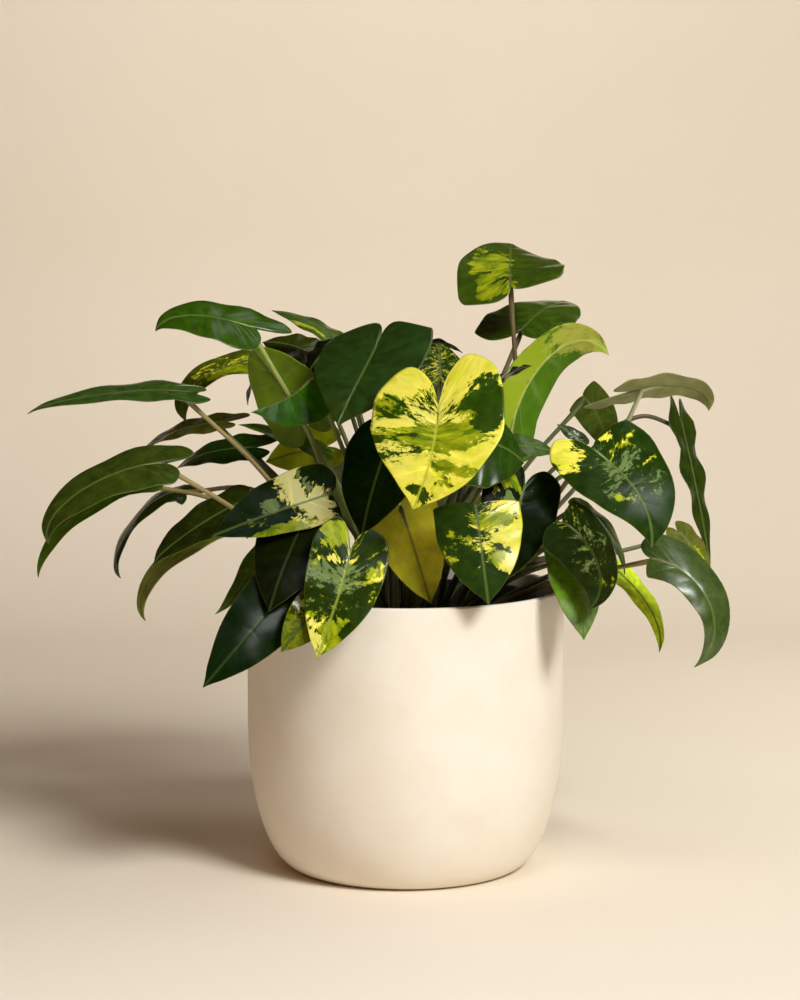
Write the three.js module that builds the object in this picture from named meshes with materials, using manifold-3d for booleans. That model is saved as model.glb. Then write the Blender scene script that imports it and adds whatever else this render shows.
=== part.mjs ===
// Potted variegated philodendron: a leafy house plant in a thin black growing pot, which stands
// inside a round-bottomed cream planter. Millimetres, +Z up. The origin is the middle of the flat
// foot that the planter stands on. X runs to the right of the plant and Y towards its back.
import * as THREE from "three";
import { mergeVertices } from "three/addons/utils/BufferGeometryUtils.js";
import Module from "manifold-3d";

const wasm = await Module();
wasm.setup();

// Planter: straight wall, quarter-ellipse round to a flat foot
const POT_RADIUS = 125;
const POT_HEIGHT = 223;
const POT_WALL = 5;
const POT_FLOOR = 8;
const FOOT_RADIUS = 85;
const ROUND_HEIGHT = 115;
const RIM_ROUND = 1.8;
const POT_SIDES = 36;

// Growing pot: thin plastic with a rolled rim, standing on the planter's floor
const SEAT_GAP = 0.3;
const GROW_BASE = POT_FLOOR + SEAT_GAP;
const GROW_TOP = 213;
const GROW_WALL = 1.6;
const GROW_BASE_RADIUS = 74;
const GROW_HEEL_RADIUS = 92;
const GROW_HEEL_HEIGHT = 40;
const GROW_TOP_RADIUS = 110;
const GROW_LIP_WIDTH = 3.5;
const GROW_LIP_HEIGHT = 9;

// Soil: fills the growing pot to below its rim, with one plain hole for each stalk
const SOIL_TOP = 198;
const SOIL_CROWN = 5;
const STALK_DEPTH = 14;
const HOLE_GAP = 1;

// Leaves: a thin blade with a thicker midrib, on a round stalk
const BLADE = 1.1;
const MIDRIB = 1.0;
const STALK_BASE = 2.4;
const STALK_TIP = 1.7;
const BLADE_ROWS = 8;
const SMALL_BLADE = 20;
const SMALL_BLADE_ROWS = 6;
const STALK_STEPS = 5;
const HOLE_SIDES = 6;
const STALK_SIDES = 5;
const STALK_TUCK = 1.3;
const VEIN_LEAN = 1.6;
const HOOK_START = 0.85;
const LOBE_SHARE = 0.3;
const ROOT_SHARE = 0.3;

const GLAZE = { color: "#e9dcc3", roughness: 0.62, metalness: 0 };
const BLACK_PLASTIC = { color: "#1a1917", roughness: 0.55, metalness: 0 };
const PEAT = { color: "#1f1710", roughness: 0.95, metalness: 0 };
const FOLIAGE = {
  dark: { color: "#22391a", roughness: 0.36, metalness: 0 },
  green: { color: "#3c5f27", roughness: 0.38, metalness: 0 },
  lime: { color: "#7d9a35", roughness: 0.4, metalness: 0 },
  yellow: { color: "#c9cf3f", roughness: 0.4, metalness: 0 },
};

// One row a leaf. at: where the stalk meets the blade. tip: the far end of the blade. face: the
// way its upper side looks. half: half its width. Then, where a leaf needs them:
// lobes: lengths of its left and right back lobes. close: how far the notch between them closes,
// 0 if left out and 2 at most. bow: how far the midrib lifts towards the face a third and two
// thirds along. side: the same towards the left. rib: those two points themselves.
// skew: share by which the left half is wider. fold: degrees each half lifts from flat. curl: more
// degrees by the edge. twist: turn of the blade from base to tip. wave: height, count and start
// of the ripples at the edge. hook: drop of the last bit of the tip. via: points the stalk passes
// on its way. root: where it leaves the soil. on: the leaf whose stalk it grows beside.
// Left and right are the blade's own, looking from its stalk to its tip with its face up.
const LEAVES = [
  // Left side, from the top down
  { name: "leaf_left_1", tone: "green", at: [-118, -15, 427], tip: [-194, -30, 426], face: [0, -0.62, 0.78],
    rib: [[-144, -18, 436], [-178, -26, 444]], half: 24, lobes: [8, 30], skew: 0.15, fold: 4, curl: -14, hook: 3 },
  { name: "leaf_left_2", tone: "lime", at: [-81, 4, 354], tip: [-122, -6, 414], face: [0.3, 1, 0.3],
    bow: [5, 5], half: 30, lobes: [18, 18], fold: 8, curl: -10 },
  { name: "leaf_left_3", tone: "green", at: [-70, -38, 394], tip: [-118, -54, 364], face: [0.1, -0.3, 1],
    rib: [[-84, -42, 373], [-98, -47, 372]], half: 29, lobes: [24, 10], fold: -50 },
  { name: "leaf_left_4", tone: "green", at: [-49, 70, 412], tip: [-109, 85, 437], face: [0.2, -0.35, 1],
    bow: [6, 6], half: 16, lobes: [8, 8], fold: -10 },
  { name: "leaf_left_5", tone: "green", at: [-80, 112, 402], tip: [-119, 127, 409], face: [0.1, -0.45, 0.9],
    bow: [4, 4], half: 22, lobes: [14, 14], root: [-16, 46] },
  { name: "leaf_left_6", tone: "dark", at: [-60, 42, 411], tip: [-78, 28, 386], face: [-0.7, -0.6, 0.4],
    bow: [3, 3], half: 16, lobes: [8, 8], root: [-13, 12] },
  { name: "leaf_left_7", tone: "green", at: [-112, 80, 393], tip: [-176, 52, 348], face: [-0.1, -0.4, 0.9],
    rib: [[-147, 72, 402], [-194, 54, 374]], half: 18, lobes: [14, 20], fold: 4, via: [[-70, 57, 314]],
    root: [-33, 16] },
  { name: "leaf_left_8", tone: "green", at: [-170, -58, 380], tip: [-287, -72, 366], face: [0.1, -0.25, 1],
    rib: [[-198, -60, 384], [-250, -67, 378]], half: 22, lobes: [22, 18], fold: 6, curl: -14, hook: 2 },
  { name: "leaf_left_9", tone: "dark", at: [-149, 42, 349], tip: [-212, 54, 326], face: [-0.1, -0.3, 0.9],
    bow: [6, 8], half: 18, lobes: [14, 24] },
  { name: "leaf_left_10", tone: "green", at: [-182, -95, 329], tip: [-268, -115, 270], face: [-0.3, -0.6, 0.8],
    rib: [[-212, -100, 329], [-271, -112, 303]], half: 24, lobes: [12, 24], skew: 0.05, fold: 4, curl: -14,
    hook: 4, via: [[-115, -73, 280]] },
  { name: "leaf_left_11", tone: "dark", at: [-197, -48, 309], tip: [-280, -72, 239], face: [-0.4, -0.4, 0.7],
    rib: [[-235, -58, 306], [-282, -68, 266]], half: 13, lobes: [10, 10], via: [[-140, -12, 287]] },
  { name: "leaf_left_12", tone: "green", at: [-177, 20, 295], tip: [-226, 10, 227], face: [-0.8, -0.3, 0.5],
    rib: [[-207, 20, 299], [-243, 15, 243]], half: 14, lobes: [4, 10], curl: -16, via: [[-115, 22, 294]] },
  { name: "leaf_left_13", tone: "green", at: [-126, 85, 325], tip: [-190, 110, 305], face: [0.1, -0.5, 0.9],
    bow: [6, 10], half: 21, lobes: [18, 20] },
  { name: "leaf_left_14", tone: "lime", at: [-66, 83, 326], tip: [-114, 74, 314], face: [0, 0.8, 0.5],
    bow: [3, 3], half: 23, root: [-26, 24] },
  { name: "leaf_left_15", tone: "green", at: [-67, 34, 329], tip: [-133, 30, 348], face: [0, -0.35, 1],
    bow: [5, 5], half: 15, lobes: [12, 12], curl: -20 },
  { name: "leaf_left_16", tone: "dark", at: [-128, -38, 293], tip: [-196, -56, 247], face: [-0.3, -0.5, 0.8],
    bow: [5, 6], half: 24, lobes: [8, 14], fold: 8, curl: -16, hook: 4, root: [-44, -2] },
  { name: "leaf_left_17", tone: "lime", at: [-128, 22, 275], tip: [-206, 2, 194], face: [-0.5, -0.6, 0.5],
    rib: [[-164, 20, 272], [-226, 8, 220]], half: 19, lobes: [10, 14], twist: 24,
    via: [[-78, 5, 244]] },
  { name: "leaf_left_18", tone: "dark", at: [-110, 62, 390], tip: [-127, 52, 362], face: [-0.7, -0.2, 0.5],
    on: "leaf_left_7", via: [[-71, 56, 316]], bow: [8, 8], half: 9, lobes: [4, 4] },

  // Front, under the crown
  { name: "leaf_front_1", tone: "dark", at: [-22, -39, 415], tip: [-51, -87, 356], face: [-0.3, -0.7, 0.65],
    bow: [8, 10], side: [6, 4], half: 45, lobes: [31, 31], close: 2, fold: 5, curl: -14 },
  { name: "leaf_front_2", tone: "lime", at: [-57, -80, 304], tip: [-145, -110, 275], face: [0, -0.9, 0.5],
    bow: [4, 4], half: 25, lobes: [2, 10], skew: -0.15, fold: 4, curl: -10 },
  { name: "leaf_front_3", tone: "dark", at: [-76, -85, 286], tip: [-101, -135, 222], face: [-0.2, -0.9, 0.3],
    bow: [6, 8], half: 31, lobes: [14, 20], curl: -16 },
  { name: "leaf_front_4", tone: "green", at: [-98, -39, 267], tip: [-145, -78, 212], face: [-0.6, -0.6, 0.3],
    rib: [[-116, -55, 260], [-126, -68, 222]], half: 13, lobes: [5, 5], root: [-35, -26] },
  { name: "leaf_front_5", tone: "green", at: [-85, -110, 239], tip: [-149, -155, 169], face: [0.2, -0.9, 0.4],
    bow: [6, 8], half: 26, lobes: [14, 18], curl: -16 },
  { name: "leaf_front_6", tone: "lime", at: [-60, -128, 232], tip: [-92, -146, 194], face: [0, -1, 0.2],
    bow: [2, 2], half: 17, lobes: [4, 4] },
  { name: "leaf_front_7", tone: "yellow", at: [-41, -125, 267], tip: [-65, -152, 190], face: [-0.1, -1, 0.2],
    bow: [4, 6], side: [4, 1], half: 29, lobes: [18, 25], fold: 6, curl: -10 },
  { name: "leaf_front_8", tone: "dark", at: [-12, -65, 344], tip: [-33, -90, 273], face: [-0.4, -0.8, 0.2],
    bow: [5, 6], half: 34, lobes: [14, 18], curl: -12, root: [-10, -32] },
  { name: "leaf_front_9", tone: "yellow", at: [24, -128, 375], tip: [5, -160, 301], face: [-0.3, -0.8, 0.4],
    bow: [6, 7], side: [8, 8], half: 51, lobes: [41, 38], fold: 6, curl: -10,
    via: [[14, -62, 307]] },
  { name: "leaf_front_10", tone: "lime", at: [-4, -78, 295], tip: [19, -100, 223], face: [0, 0.9, 0.3],
    bow: [4, 4], half: 27, lobes: [14, 14] },
  { name: "leaf_front_11", tone: "lime", at: [52, -110, 299], tip: [61, -137, 228], face: [0, -0.9, 0.4],
    bow: [5, 6], half: 33, lobes: [2, 4], curl: -12 },
  { name: "leaf_front_12", tone: "dark", at: [91, -66, 310], tip: [62, -90, 231], face: [0.3, -0.9, 0.2],
    bow: [4, 6], half: 31, lobes: [16, 16] },
  { name: "leaf_front_13", tone: "green", at: [50, -82, 346], tip: [90, -66, 326], face: [0.1, -0.7, 0.7],
    bow: [8, 8], half: 40, lobes: [14, 14], curl: -24 },
  { name: "leaf_front_14", tone: "green", at: [70, -44, 336], tip: [117, -38, 331], face: [0, -0.6, 0.8],
    bow: [6, 6], half: 14, lobes: [8, 8], root: [12, -16] },

  // Crown
  { name: "leaf_top_1", tone: "green", at: [82, 0, 460], tip: [87, 90, 491], face: [-0.29, -0.45, 0.9],
    bow: [5, 5], half: 43, lobes: [22, 11], close: 1, twist: 34, via: [[84, 0, 340]], root: [30, 0] },
  { name: "leaf_top_2", tone: "dark", at: [92, 45, 422], tip: [134, 128, 443], face: [-0.2, -0.6, 0.85],
    bow: [6, 8], half: 38, lobes: [22, 10] },
  { name: "leaf_top_3", tone: "lime", at: [80, -20, 336], tip: [160, 6, 404], face: [-0.5, 0.8, 0.3],
    rib: [[88, -6, 398], [138, 14, 437]], half: 25, lobes: [12, 12] },
  { name: "leaf_top_4", tone: "dark", at: [70, -45, 387], tip: [96, -60, 400], face: [0.1, -0.4, 0.9],
    bow: [2, 2], half: 12, lobes: [5, 5], root: [26, -13] },
  { name: "leaf_top_5", tone: "lime", at: [27, -20, 387], tip: [27, 20, 414], face: [0, -0.8, 0.6],
    bow: [2, 2], half: 18, lobes: [8, 8] },
  { name: "leaf_top_6", tone: "dark", at: [12, 36, 410], tip: [46, 52, 404], face: [0, -0.5, 0.9],
    bow: [7, 7], half: 8, lobes: [5, 5] },

  // Right side
  { name: "leaf_right_1", tone: "dark", at: [141, 28, 371], tip: [164, 18, 324], face: [-0.4, -0.7, 0.4],
    bow: [4, 4], side: [8, 4], half: 16, lobes: [2, 2] },
  { name: "leaf_right_2", tone: "green", at: [181, -15, 379], tip: [238, 0, 361], face: [0, 0.5, 0.9],
    rib: [[203, -10, 384], [240, -4, 384]], half: 20, lobes: [44, 22], via: [[167, -12, 343]], root: [49, 1] },
  { name: "leaf_right_3", tone: "green", at: [224, 60, 345], tip: [247, 48, 230], face: [0.8, -0.6, 0.1],
    bow: [2, 2], half: 15, lobes: [22, 26], wave: [3, 3, 0], via: [[152, 42, 329], [190, 52, 353]] },
  { name: "leaf_right_4", tone: "green", at: [142, -75, 338], tip: [184, -105, 266], face: [0.1, -0.8, 0.5],
    bow: [8, 10], side: [8, 18], half: 37, lobes: [6, 26], skew: 0.08, curl: -12,
    via: [[92, -36, 288]] },
  { name: "leaf_right_5", tone: "dark", at: [131, -30, 289], tip: [170, -40, 237], face: [0.6, -0.3, 0.7],
    rib: [[147, -31, 288], [168, -36, 264]], half: 14, lobes: [5, 5] },
  { name: "leaf_right_6", tone: "dark", at: [118, -88, 284], tip: [136, -118, 221], face: [-0.3, -0.9, 0.3],
    rib: [[140, -94, 273], [158, -112, 238]], half: 22, lobes: [2, 8], skew: -0.15,
    via: [[116, -54, 266]] },
  { name: "leaf_right_7", tone: "dark", at: [126, -68, 257], tip: [134, -104, 196], face: [0.2, -0.9, 0.3],
    bow: [4, 5], half: 21, lobes: [6, 10], root: [48, -16] },
  { name: "leaf_right_8", tone: "lime", at: [162, -22, 240], tip: [197, -42, 176], face: [0.4, -0.6, 0.5],
    rib: [[180, -26, 227], [203, -36, 200]], half: 11, lobes: [6, 6], root: [60, -8] },
  { name: "leaf_right_9", tone: "green", at: [187, -75, 254], tip: [218, -92, 173], face: [0.3, -0.7, 0.6],
    rib: [[222, -84, 251], [253, -94, 202]], half: 19, lobes: [10, 3], skew: 0.2, curl: -10 },
  { name: "leaf_right_10", tone: "green", at: [220, 34, 261], tip: [245, 28, 228], face: [0.2, -0.6, 0.7],
    bow: [3, 3], half: 13, lobes: [9, 9] },
  { name: "leaf_right_11", tone: "dark", at: [94, 52, 231], tip: [138, 44, 235], face: [0, 0.5, 0.8],
    bow: [4, 4], half: 13, lobes: [8, 8], root: [44, 24] },
  { name: "leaf_right_12", tone: "dark", at: [138, -34, 338], tip: [117, -30, 353], face: [-0.3, -0.7, 0.6],
    on: "leaf_right_5", bow: [3, 3], half: 6, lobes: [3, 3] },

  // Back
  { name: "leaf_back_1", tone: "green", at: [-44, 124, 372], tip: [-86, 194, 334], face: [-0.3, 0.5, 0.8],
    bow: [8, 10], half: 32 },
  { name: "leaf_back_2", tone: "green", at: [10, 108, 384], tip: [25, 195, 345], face: [0, 0.5, 0.85],
    bow: [8, 10], half: 37 },
  { name: "leaf_back_3", tone: "green", at: [62, 118, 334], tip: [82, 190, 284], face: [0.2, 0.6, 0.7],
    bow: [8, 10], half: 28 },
  { name: "leaf_back_4", tone: "dark", at: [-98, 112, 292], tip: [-136, 178, 238], face: [-0.4, 0.5, 0.7],
    bow: [8, 8], half: 28, root: [-36, 38] },
  { name: "leaf_back_5", tone: "green", at: [-30, 130, 312], tip: [-48, 205, 248], face: [-0.2, 0.7, 0.6],
    bow: [6, 8], half: 34 },
  { name: "leaf_back_6", tone: "lime", at: [30, 130, 286], tip: [42, 200, 216], face: [0.1, 0.8, 0.5],
    bow: [6, 8], half: 32 },
  { name: "leaf_back_7", tone: "dark", at: [108, 102, 262], tip: [146, 160, 205], face: [0.4, 0.6, 0.5],
    bow: [6, 8], half: 27 },
  { name: "leaf_back_8", tone: "green", at: [-84, 104, 248], tip: [-112, 160, 184], face: [-0.4, 0.7, 0.5],
    bow: [6, 8], half: 26, root: [-22, 56] },
  { name: "leaf_back_9", tone: "dark", at: [4, 116, 246], tip: [0, 168, 180], face: [0, 0.9, 0.4],
    bow: [5, 6], half: 27, root: [2, 45] },
];

// Plain solids
const up = new THREE.Vector3(0, 0, 1);

function mergedGeometry(source) {
  const geometry = source.clone();
  geometry.deleteAttribute("normal");
  geometry.deleteAttribute("uv");
  return mergeVertices(geometry, 1e-4);
}

function toSolid(geometry) {
  const merged = mergedGeometry(geometry);
  const vertProperties = new Float32Array(merged.attributes.position.array);
  const triVerts = new Uint32Array(merged.index.array);
  return new wasm.Manifold(new wasm.Mesh({ numProp: 3, vertProperties, triVerts }));
}

function toGeometry(solid) {
  const mesh = solid.getMesh();
  const geometry = new THREE.BufferGeometry();
  geometry.setAttribute("position", new THREE.BufferAttribute(mesh.vertProperties, 3));
  geometry.setIndex(new THREE.BufferAttribute(mesh.triVerts, 1));
  geometry.computeVertexNormals();
  return geometry;
}

// A profile of [radius, height] pairs, turned about the upright axis
function turned(profile, sides) {
  const points = profile.map(([radius, height]) => new THREE.Vector2(radius, height));
  const geometry = new THREE.LatheGeometry(points, sides);
  geometry.rotateX(Math.PI / 2);
  return geometry;
}

function quarterEllipse(innerRadius, outerRadius, bottom, top, steps) {
  const points = [];
  for (let i = 0; i <= steps; i += 1) {
    const angle = (i / steps) * (Math.PI / 2);
    const radius = innerRadius + (outerRadius - innerRadius) * Math.sin(angle);
    points.push([radius, top - (top - bottom) * Math.cos(angle)]);
  }
  return points;
}

function potGeometry() {
  const inner = POT_RADIUS - POT_WALL;
  const outside = quarterEllipse(FOOT_RADIUS, POT_RADIUS, 0, ROUND_HEIGHT, 8);
  const inside = quarterEllipse(FOOT_RADIUS - POT_WALL, inner, POT_FLOOR, ROUND_HEIGHT, 8).reverse();
  const rim = [
    [POT_RADIUS, POT_HEIGHT - RIM_ROUND],
    [POT_RADIUS - RIM_ROUND, POT_HEIGHT],
    [inner + RIM_ROUND, POT_HEIGHT],
    [inner, POT_HEIGHT - RIM_ROUND],
  ];
  return turned([[0, 0], ...outside, ...rim, ...inside, [0, POT_FLOOR]], POT_SIDES);
}

// Radius of the growing pot's outer wall at a height
function growRadius(height) {
  if (height < GROW_HEEL_HEIGHT) {
    const share = (height - GROW_BASE) / (GROW_HEEL_HEIGHT - GROW_BASE);
    return GROW_BASE_RADIUS + (GROW_HEEL_RADIUS - GROW_BASE_RADIUS) * share;
  }
  const share = (height - GROW_HEEL_HEIGHT) / (GROW_TOP - GROW_HEEL_HEIGHT);
  return GROW_HEEL_RADIUS + (GROW_TOP_RADIUS - GROW_HEEL_RADIUS) * share;
}

function growPotGeometry() {
  const lipBottom = GROW_TOP - GROW_LIP_HEIGHT;
  const lipRadius = GROW_TOP_RADIUS + GROW_LIP_WIDTH;
  const profile = [
    [0, GROW_BASE],
    [GROW_BASE_RADIUS, GROW_BASE],
    [GROW_HEEL_RADIUS, GROW_HEEL_HEIGHT],
    [growRadius(lipBottom), lipBottom],
    [lipRadius, lipBottom + 1],
    [lipRadius, GROW_TOP],
    [GROW_TOP_RADIUS - GROW_WALL, GROW_TOP],
    [GROW_HEEL_RADIUS - GROW_WALL, GROW_HEEL_HEIGHT],
    [GROW_BASE_RADIUS - GROW_WALL, GROW_BASE + GROW_WALL],
    [0, GROW_BASE + GROW_WALL],
  ];
  return turned(profile, POT_SIDES);
}

// The soil follows the growing pot's inner wall, a seat gap away from it
function soilGeometry(stalks) {
  const wall = GROW_WALL + SEAT_GAP;
  const bottom = GROW_BASE + GROW_WALL + SEAT_GAP;
  const edge = SOIL_TOP - SOIL_CROWN;
  const profile = [
    [0, bottom],
    [GROW_BASE_RADIUS - wall, bottom],
    [GROW_HEEL_RADIUS - wall, GROW_HEEL_HEIGHT],
    [growRadius(edge) - wall, edge],
    [growRadius(edge) * 0.8, SOIL_TOP - 1],
    [0, SOIL_TOP],
  ];
  let soil = toSolid(turned(profile, POT_SIDES));
  for (const { x, y, radius } of stalks) {
    const depth = STALK_DEPTH + SEAT_GAP;
    const hole = new THREE.CylinderGeometry(radius + HOLE_GAP, radius + HOLE_GAP, 2 * depth, HOLE_SIDES);
    hole.rotateX(Math.PI / 2);
    hole.translate(x, y, SOIL_TOP);
    soil = soil.subtract(toSolid(hole));
  }
  return toGeometry(soil);
}

// The flat outline of half a blade, from the stalk round the back lobe to the tip. X is in lobe
// lengths behind the stalk and in blade lengths ahead of it, Y is in half widths.
const HALF_OUTLINE = new THREE.SplineCurve(
  [
    [0, 0], [-0.62, 0.14], [-1, 0.46], [-0.6, 0.88], [0.1, 1], [0.38, 0.94],
    [0.64, 0.7], [0.84, 0.36], [0.94, 0.12], [1, 0],
  ].map(([x, y]) => new THREE.Vector2(x, y)),
);

function blended(from, to, share) {
  return from + (to - from) * share;
}

// A leaf's midrib and the directions across it
function leafFrame(leaf) {
  const at = new THREE.Vector3(...leaf.at);
  const tip = new THREE.Vector3(...leaf.tip);
  const chord = tip.clone().sub(at);
  const length = chord.length();
  const along = chord.clone().normalize();
  const face = new THREE.Vector3(...leaf.face);
  face.addScaledVector(along, -face.dot(along)).normalize();
  const across = new THREE.Vector3().crossVectors(face, along);
  const bows = leaf.bow ?? [0, 0];
  const sides = leaf.side ?? [0, 0];
  const [near, far] = [0, 1].map((i) => {
    if (leaf.rib) {
      return new THREE.Vector3(...leaf.rib[i]);
    }
    const point = at.clone().addScaledVector(along, (length * (i + 1)) / 3);
    return point.addScaledVector(face, bows[i]).addScaledVector(across, sides[i]);
  });
  const midrib = new THREE.CubicBezierCurve3(at, near, far, tip);
  const lobes = leaf.lobes ?? [length * LOBE_SHARE, length * LOBE_SHARE];
  const twist = THREE.MathUtils.degToRad(leaf.twist ?? 0);
  const wave = leaf.wave ?? [1.2, 2.5, leaf.at[0]];
  return { at, face, midrib, lobes, length, twist, wave };
}

// A point of the blade: x millimetres along (negative on the lobes), y across as a share of the
// half width, negative on the right half
function bladePoint(leaf, frame, x, y) {
  const share = THREE.MathUtils.clamp(x / frame.length, 0, 1);
  const ahead = frame.midrib.getTangent(Math.max(share, 0.001));
  const normal = frame.face.clone();
  normal.addScaledVector(ahead, -normal.dot(ahead)).normalize();
  normal.applyAxisAngle(ahead, frame.twist * share);
  const left = new THREE.Vector3().crossVectors(normal, ahead);
  const middle = frame.midrib.getPoint(share);
  const back = Math.min(x, 0);
  middle.addScaledVector(ahead, back);
  const tipShare = Math.max(0, (share - HOOK_START) / (1 - HOOK_START));
  middle.addScaledVector(normal, -(leaf.hook ?? 0) * tipShare ** 2);

  const out = Math.abs(y);
  const half = leaf.half * (1 + Math.sign(y) * (leaf.skew ?? 0));
  const lean = THREE.MathUtils.degToRad((leaf.fold ?? 0) + ((leaf.curl ?? 0) * out) / 2);
  middle.addScaledVector(left, half * y * Math.cos(lean));
  const [height, count, start] = frame.wave;
  const ripple = Math.sin(2 * Math.PI * count * (x / frame.length) + start + Math.sign(y));
  middle.addScaledVector(normal, half * out * Math.sin(lean) + height * ripple * out ** 2);
  return middle;
}

// Rows of points from the midrib to the edge follow the side veins: each row is [x, y] pairs
function halfRows(leaf, frame, lobe, rows) {
  const grid = [];
  for (let i = 0; i <= rows; i += 1) {
    const edge = HALF_OUTLINE.getPoint(i / rows);
    const edgeX = edge.x * (edge.x < 0 ? lobe : frame.length);
    const veinX = frame.length * (i / rows) ** VEIN_LEAN;
    const closing = Math.min((3 * i) / rows, 1) ** (leaf.close ?? 0);
    grid.push({ veinX, edgeX, edgeY: edge.y * closing });
  }
  return grid;
}

function bladeSolid(leaf, frame) {
  const rows = leaf.half < SMALL_BLADE ? SMALL_BLADE_ROWS : BLADE_ROWS;
  const halves = frame.lobes.map((lobe) => halfRows(leaf, frame, lobe, rows));
  const points = [];
  const onMidrib = [];
  const addPoint = (x, y) => {
    points.push(bladePoint(leaf, frame, x, y));
    onMidrib.push(y === 0);
    return points.length - 1;
  };
  const spine = halves[0].map(({ veinX }) => addPoint(veinX, 0));
  const faces = [];
  const edges = [];
  for (const side of [1, -1]) {
    const inner = [];
    const outer = [];
    halves[side > 0 ? 0 : 1].forEach(({ veinX, edgeX, edgeY }, i) => {
      const single = i === 0 || i === rows;
      inner.push(single ? spine[i] : addPoint((veinX + edgeX) / 2, (side * edgeY) / 2));
      outer.push(single ? spine[i] : addPoint(edgeX, side * edgeY));
    });
    const addFace = (a, b, c) => {
      if (a !== b && b !== c && a !== c) {
        faces.push(side > 0 ? [a, b, c] : [a, c, b]);
      }
    };
    for (let i = 0; i < rows; i += 1) {
      addFace(spine[i], spine[i + 1], inner[i + 1]);
      addFace(spine[i], inner[i + 1], inner[i]);
      addFace(inner[i], inner[i + 1], outer[i + 1]);
      addFace(inner[i], outer[i + 1], outer[i]);
      edges.push(side > 0 ? [outer[i], outer[i + 1]] : [outer[i + 1], outer[i]]);
    }
  }
  return thickened(points, onMidrib, faces, edges);
}

// Gives an open sheet its thickness: the same triangles above and below, and a wall round the edge
function thickened(points, onMidrib, faces, edges) {
  const normals = points.map(() => new THREE.Vector3());
  for (const [a, b, c] of faces) {
    const ab = points[b].clone().sub(points[a]);
    const ac = points[c].clone().sub(points[a]);
    const normal = ab.cross(ac);
    [a, b, c].forEach((i) => normals[i].add(normal));
  }
  const count = points.length;
  const above = points.map((p, i) => p.clone().addScaledVector(normals[i].normalize(), BLADE / 2));
  const below = points.map((p, i) => {
    const depth = BLADE / 2 + (onMidrib[i] ? MIDRIB : 0);
    return p.clone().addScaledVector(normals[i], -depth);
  });
  const index = [];
  for (const [a, b, c] of faces) {
    index.push(a, b, c, a + count, c + count, b + count);
  }
  for (const [a, b] of edges) {
    index.push(a, b, b + count, a, b + count, a + count);
  }
  const geometry = new THREE.BufferGeometry().setFromPoints([...above, ...below]);
  geometry.setIndex(index);
  return toSolid(geometry);
}

// A stalk's way: straight up through its hole, then in one bend to the blade
function stalkPath(leaf, frame) {
  const source = leaf.on ? LEAVES.find(({ name }) => name === leaf.on) : leaf;
  const [x, y] = source.root ?? [source.at[0] * ROOT_SHARE, source.at[1] * ROOT_SHARE];
  const foot = new THREE.Vector3(x, y, SOIL_TOP);
  const way = frame.at.clone().sub(foot);
  const middle = [x + way.x * 0.42, y + way.y * 0.42, SOIL_TOP + way.z * 0.58];
  const points = [
    foot.clone().addScaledVector(up, -STALK_DEPTH),
    foot.clone().addScaledVector(up, -STALK_DEPTH / 3),
    foot.clone().addScaledVector(up, STALK_DEPTH / 4),
    ...(leaf.via ?? [middle]).map((point) => new THREE.Vector3(...point)),
    bladePoint(leaf, frame, 3, 0).addScaledVector(frame.face, -STALK_TUCK),
  ];
  return new THREE.CatmullRomCurve3(points, false, "centripetal");
}

function stalkSolid(leaf, frame) {
  const path = stalkPath(leaf, frame);
  const upright = (STALK_DEPTH * 1.15) / path.getLength();
  const stops = [0, upright];
  for (let i = 1; i <= STALK_STEPS; i += 1) {
    stops.push(blended(upright, 1, i / STALK_STEPS));
  }
  const points = [];
  let side = new THREE.Vector3(1, 0, 0);
  for (const stop of stops) {
    const centre = path.getPointAt(stop);
    const ahead = path.getTangentAt(stop);
    side.addScaledVector(ahead, -side.dot(ahead)).normalize();
    const other = new THREE.Vector3().crossVectors(ahead, side);
    const radius = blended(STALK_BASE, STALK_TIP, stop);
    for (let k = 0; k < STALK_SIDES; k += 1) {
      const angle = (2 * Math.PI * k) / STALK_SIDES;
      const point = centre.clone().addScaledVector(side, radius * Math.cos(angle));
      points.push(point.addScaledVector(other, radius * Math.sin(angle)));
    }
  }
  const index = [];
  const rings = stops.length;
  for (let i = 0; i + 1 < rings; i += 1) {
    for (let k = 0; k < STALK_SIDES; k += 1) {
      const a = i * STALK_SIDES + k;
      const b = i * STALK_SIDES + ((k + 1) % STALK_SIDES);
      index.push(a, b, b + STALK_SIDES, a, b + STALK_SIDES, a + STALK_SIDES);
    }
  }
  const last = (rings - 1) * STALK_SIDES;
  for (let k = 1; k + 1 < STALK_SIDES; k += 1) {
    index.push(0, k + 1, k, last, last + k, last + k + 1);
  }
  const geometry = new THREE.BufferGeometry().setFromPoints(points);
  geometry.setIndex(index);
  return toSolid(geometry);
}

function leafSolid(leaf) {
  const frame = leafFrame(leaf);
  return bladeSolid(leaf, frame).add(stalkSolid(leaf, frame));
}

// The whole object
const object = new THREE.Group();

function addPiece(name, geometry, finish) {
  const mesh = new THREE.Mesh(geometry, new THREE.MeshStandardMaterial(finish));
  mesh.name = name;
  object.add(mesh);
}

const nodes = new Map();
for (const leaf of LEAVES) {
  const owner = leaf.on ?? leaf.name;
  const solid = leafSolid(leaf);
  nodes.set(owner, nodes.has(owner) ? nodes.get(owner).add(solid) : solid);
}
const stalks = LEAVES.filter(({ on }) => !on).map(({ at, root }) => {
  const [x, y] = root ?? [at[0] * ROOT_SHARE, at[1] * ROOT_SHARE];
  return { x, y, radius: STALK_BASE };
});

addPiece("pot", potGeometry(), GLAZE);
addPiece("nursery_pot", growPotGeometry(), BLACK_PLASTIC);
addPiece("soil", soilGeometry(stalks), PEAT);
for (const leaf of LEAVES) {
  if (!leaf.on) {
    addPiece(leaf.name, toGeometry(nodes.get(leaf.name)), FOLIAGE[leaf.tone]);
  }
}

export default object;
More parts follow.
